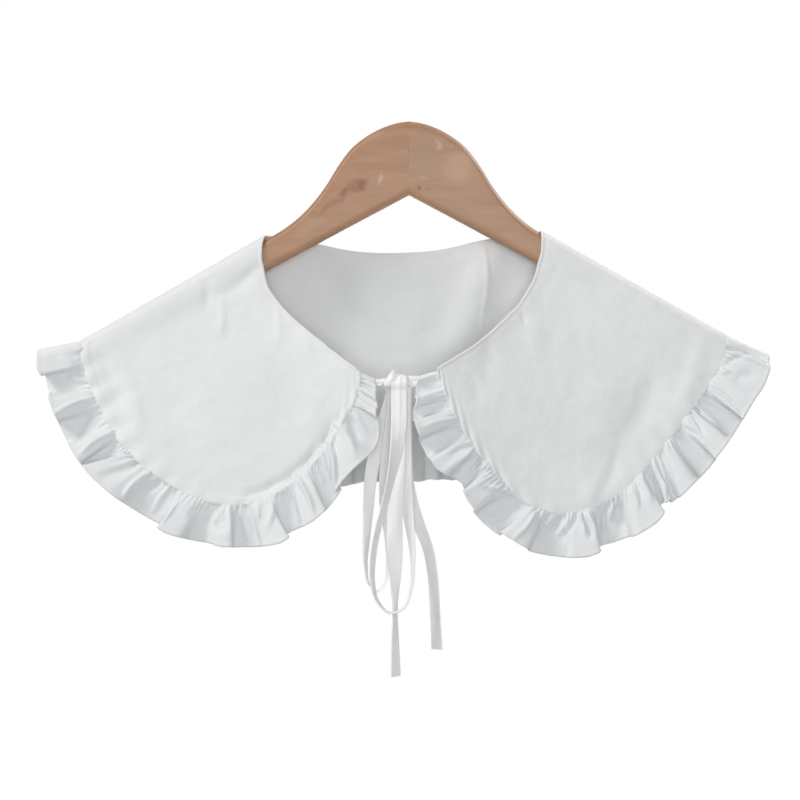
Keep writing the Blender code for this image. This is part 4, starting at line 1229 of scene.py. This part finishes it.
def cotton(name, colour):
    """Plain-woven white cotton: fine weave, slight slubs, and slow changes of tone."""
    material, nodes, links = new_material(name)
    surface = nodes["Principled BSDF"]
    set_inputs(surface, COTTON_SURFACE)
    places = nodes.new("ShaderNodeUVMap")
    places.uv_map = "cloth"
    space = nodes.new("ShaderNodeTexCoord")
    warp = node(nodes, "ShaderNodeTexWave", WEAVE)
    warp.bands_direction = "X"
    weft = node(nodes, "ShaderNodeTexWave", WEAVE)
    weft.bands_direction = "Y"
    weave = nodes.new("ShaderNodeMath")
    weave.operation = "ADD"
    slub = node(nodes, "ShaderNodeTexNoise", SLUBS)
    slub_sum = nodes.new("ShaderNodeMath")
    slub_sum.operation = "ADD"
    crumple = node(nodes, "ShaderNodeTexNoise", CRUMPLES)
    fine_bump = node(nodes, "ShaderNodeBump", WEAVE_BUMP)
    soft_bump = node(nodes, "ShaderNodeBump", CRUMPLE_BUMP)
    tone = node(nodes, "ShaderNodeTexNoise", COTTON_TONES)
    dim = tuple(COTTON_DIM * value for value in colour)
    ramp = colour_ramp(nodes, zip(COTTON_STOPS, (dim, colour)))
    for pattern in (warp, weft, slub):
        link(links, places, "UV", pattern, "Vector")
    link(links, warp, "Fac", weave, 0)
    link(links, weft, "Fac", weave, 1)
    link(links, weave, 0, slub_sum, 0)
    link(links, slub, "Fac", slub_sum, 1)
    link(links, slub_sum, 0, fine_bump, "Height")
    link(links, space, "Object", crumple, "Vector")
    link(links, crumple, "Fac", soft_bump, "Height")
    link(links, fine_bump, "Normal", soft_bump, "Normal")
    link(links, soft_bump, "Normal", surface, "Normal")
    link(links, space, "Object", tone, "Vector")
    link(links, tone, "Fac", ramp, "Fac")
    link(links, ramp, "Color", surface, "Base Color")
    return material


def wood_mark_or_shade(nodes, links, warped, below, mark):
    """Lay one soft-edged mark or band of painted shade over the colour below it, and return the colour
    above.
    """
    _, x, z, long, across, slope, strength, colour = mark
    placed = nodes.new("ShaderNodeMapping")
    placed.vector_type = "TEXTURE"
    place = {
        "Location": (x * MM, -HANGER_THICKNESS / 2 * MM, z * MM),
        "Rotation": (0.0, -math.radians(slope), 0.0),
        "Scale": (long * MM, 2 * HANGER_THICKNESS * MM, across * MM),
    }
    set_inputs(placed, place)
    round_fade = nodes.new("ShaderNodeTexGradient")
    round_fade.gradient_type = "SPHERICAL"
    reach = node(nodes, "ShaderNodeMapRange", {"From Max": MARK_SOFTNESS, "To Max": strength})
    reach.interpolation_type = "SMOOTHSTEP"
    mix = node(nodes, "ShaderNodeMixRGB", {"Color2": (*colour, 1.0)})
    links.new(warped, placed.inputs["Vector"])
    link(links, placed, "Vector", round_fade, "Vector")
    link(links, round_fade, "Fac", reach, "Value")
    link(links, reach, "Result", mix, "Fac")
    links.new(below, mix.inputs["Color1"])
    return mix.outputs["Color"]


def wood(name, side, colours):
    """Light-brown varnished wood, with fine grain along the arm, its own marks, and on the right half a
    band of painted shade along the lower edge.
    """
    material, nodes, links = new_material(name)
    surface = nodes["Principled BSDF"]
    set_inputs(surface, WOOD_SURFACE)
    places = nodes.new("ShaderNodeTexCoord")
    sway_noise = node(nodes, "ShaderNodeTexNoise", MARK_SWAY)
    spread = node(nodes, "ShaderNodeVectorMath", {1: (MARK_SWAY_REACH, 0.0, MARK_SWAY_REACH)})
    spread.operation = "MULTIPLY_ADD"
    shifted = node(nodes, "ShaderNodeVectorMath", {1: (-MARK_SWAY_REACH / 2, 0.0, -MARK_SWAY_REACH / 2)})
    arm_slope = (0.0, -side * math.atan(HANGER_LOWER_SLOPE), 0.0)
    turned = node(nodes, "ShaderNodeMapping", {"Rotation": arm_slope, "Scale": GRAIN_STRETCH})
    grain = node(nodes, "ShaderNodeTexNoise", GRAIN)
    ramp = colour_ramp(nodes, zip(GRAIN_STOPS, (colours["dark"], colours["light"])))
    bump = node(nodes, "ShaderNodeBump", GRAIN_BUMP)
    link(links, places, "Object", sway_noise, "Vector")
    link(links, sway_noise, "Color", spread, 0)
    link(links, places, "Object", spread, 2)
    link(links, spread, "Vector", shifted, 0)
    link(links, places, "Object", turned, "Vector")
    link(links, turned, "Vector", grain, "Vector")
    link(links, grain, "Fac", ramp, "Fac")
    colour = ramp.outputs["Color"]
    for mark in WOOD_MARKS_AND_SHADE[name]:
        colour = wood_mark_or_shade(nodes, links, shifted.outputs["Vector"], colour, mark)
    links.new(colour, surface.inputs["Base Color"])
    link(links, grain, "Fac", bump, "Height")
    link(links, bump, "Normal", surface, "Normal")
    return material


def plain_white(name):
    material, nodes, _ = new_material(name)
    plain = {"Base Color": STAGE_GREY, "Emission Color": PURE_WHITE, "Emission Strength": 1.0}
    set_inputs(nodes["Principled BSDF"], plain)
    return material


# Cloth pieces

def declare(piece, node_name):
    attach(piece, "root")
    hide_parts(node_name)


def make_cloth():
    strips = {
        "front_left": ClothStrip(front_sections("left", FRONT_LEFT)),
        "front_right": ClothStrip(front_sections("right", FRONT_RIGHT)),
        "back": ClothStrip(back_sections()),
    }
    forms = {
        "front_left": (FOLDS_LEFT, CREASES_LEFT, RUFFLE_CREASES_LEFT),
        "front_right": (FOLDS_RIGHT, CREASES_RIGHT, RUFFLE_CREASES_RIGHT),
        "back": (back_folds(strips["back"].length), CREASES_BACK, ()),
    }
    for number, (name, strip) in enumerate(strips.items()):
        facing = 1 if name == "back" else -1
        folds, creases, ruffle_creases = forms[name]
        panel_name = "collar_" + name + "_cloth"
        panel = make_panel(panel_name, strip, creases, facing, PANEL_SEED * number, BAND_HEIGHT[name])
        ruffle_name = "ruffle_" + name + "_cloth"
        seed = RUFFLE_SEED + RUFFLE_SEED_STEP * number
        ruffle = make_ruffle(ruffle_name, strip, folds, ruffle_creases, facing, seed)
        declare(panel, "collar_" + name)
        declare(ruffle, "ruffle_" + name)


# Stage, light and camera

def make_stage():
    turns = np.linspace(0, 2 * math.pi, STAGE_SIDES, endpoint=False)
    ring = [(STAGE_RADIUS * math.cos(turn), STAGE_RADIUS * math.sin(turn), FLOOR_HEIGHT) for turn in turns]
    floor_mesh = bpy.data.meshes.new("floor")
    floor_mesh.from_pydata(ring, [], [tuple(range(len(ring)))])
    floor = bpy.data.objects.new("floor", floor_mesh)
    floor.data.materials.append(plain_white("floor"))
    bpy.context.scene.collection.objects.link(floor)
    floor.visible_diffuse = False


def make_world():
    """Soft light from all round, with a white backdrop for the camera alone."""
    world = bpy.data.worlds.new("studio")
    bpy.context.scene.world = world
    world.use_nodes = True
    nodes = world.node_tree.nodes
    links = world.node_tree.links
    light = nodes["Background"]
    set_inputs(light, {"Color": SKY_COLOUR, "Strength": SKY_LIGHT})
    backdrop = node(nodes, "ShaderNodeBackground", {"Color": PURE_WHITE, "Strength": 1.0})
    ray = nodes.new("ShaderNodeLightPath")
    mix = nodes.new("ShaderNodeMixShader")
    link(links, ray, "Is Camera Ray", mix, "Fac")
    link(links, light, "Background", mix, 1)
    link(links, backdrop, "Background", mix, 2)
    link(links, mix, "Shader", nodes["World Output"], "Surface")


def add_area_light(name, place, size, energy, colour):
    light = bpy.data.lights.new(name, "AREA")
    light.shape = "SQUARE"
    light.size = size
    light.energy = energy
    light.color = colour
    lamp = bpy.data.objects.new(name, light)
    lamp.location = place
    direction = Vector(LIGHTS_AIM) - lamp.location
    lamp.rotation_mode = "QUATERNION"
    lamp.rotation_quaternion = direction.to_track_quat("-Z", "Y")
    lamp.visible_camera = False
    bpy.context.scene.collection.objects.link(lamp)


def make_lights():
    for name, light in LIGHTS.items():
        add_area_light(name, *light)


def make_camera():
    data = bpy.data.cameras.new("camera")
    data.sensor_width = SENSOR
    data.lens = LENS
    camera = bpy.data.objects.new("camera", data)
    camera.location = CAMERA_AT
    camera.rotation_euler = (math.radians(90), 0.0, 0.0)
    bpy.context.scene.collection.objects.link(camera)
    bpy.context.scene.camera = camera


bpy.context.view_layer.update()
make_camera()
make_tie("left")
make_tie("right")
make_knot()
make_cloth()
make_hanger_half("hanger_left", -1, LEFT_WOOD)
make_hanger_half("hanger_right", 1, RIGHT_WOOD)
make_stage()
make_world()
make_lights()
bpy.context.scene.view_settings.view_transform = "Standard"
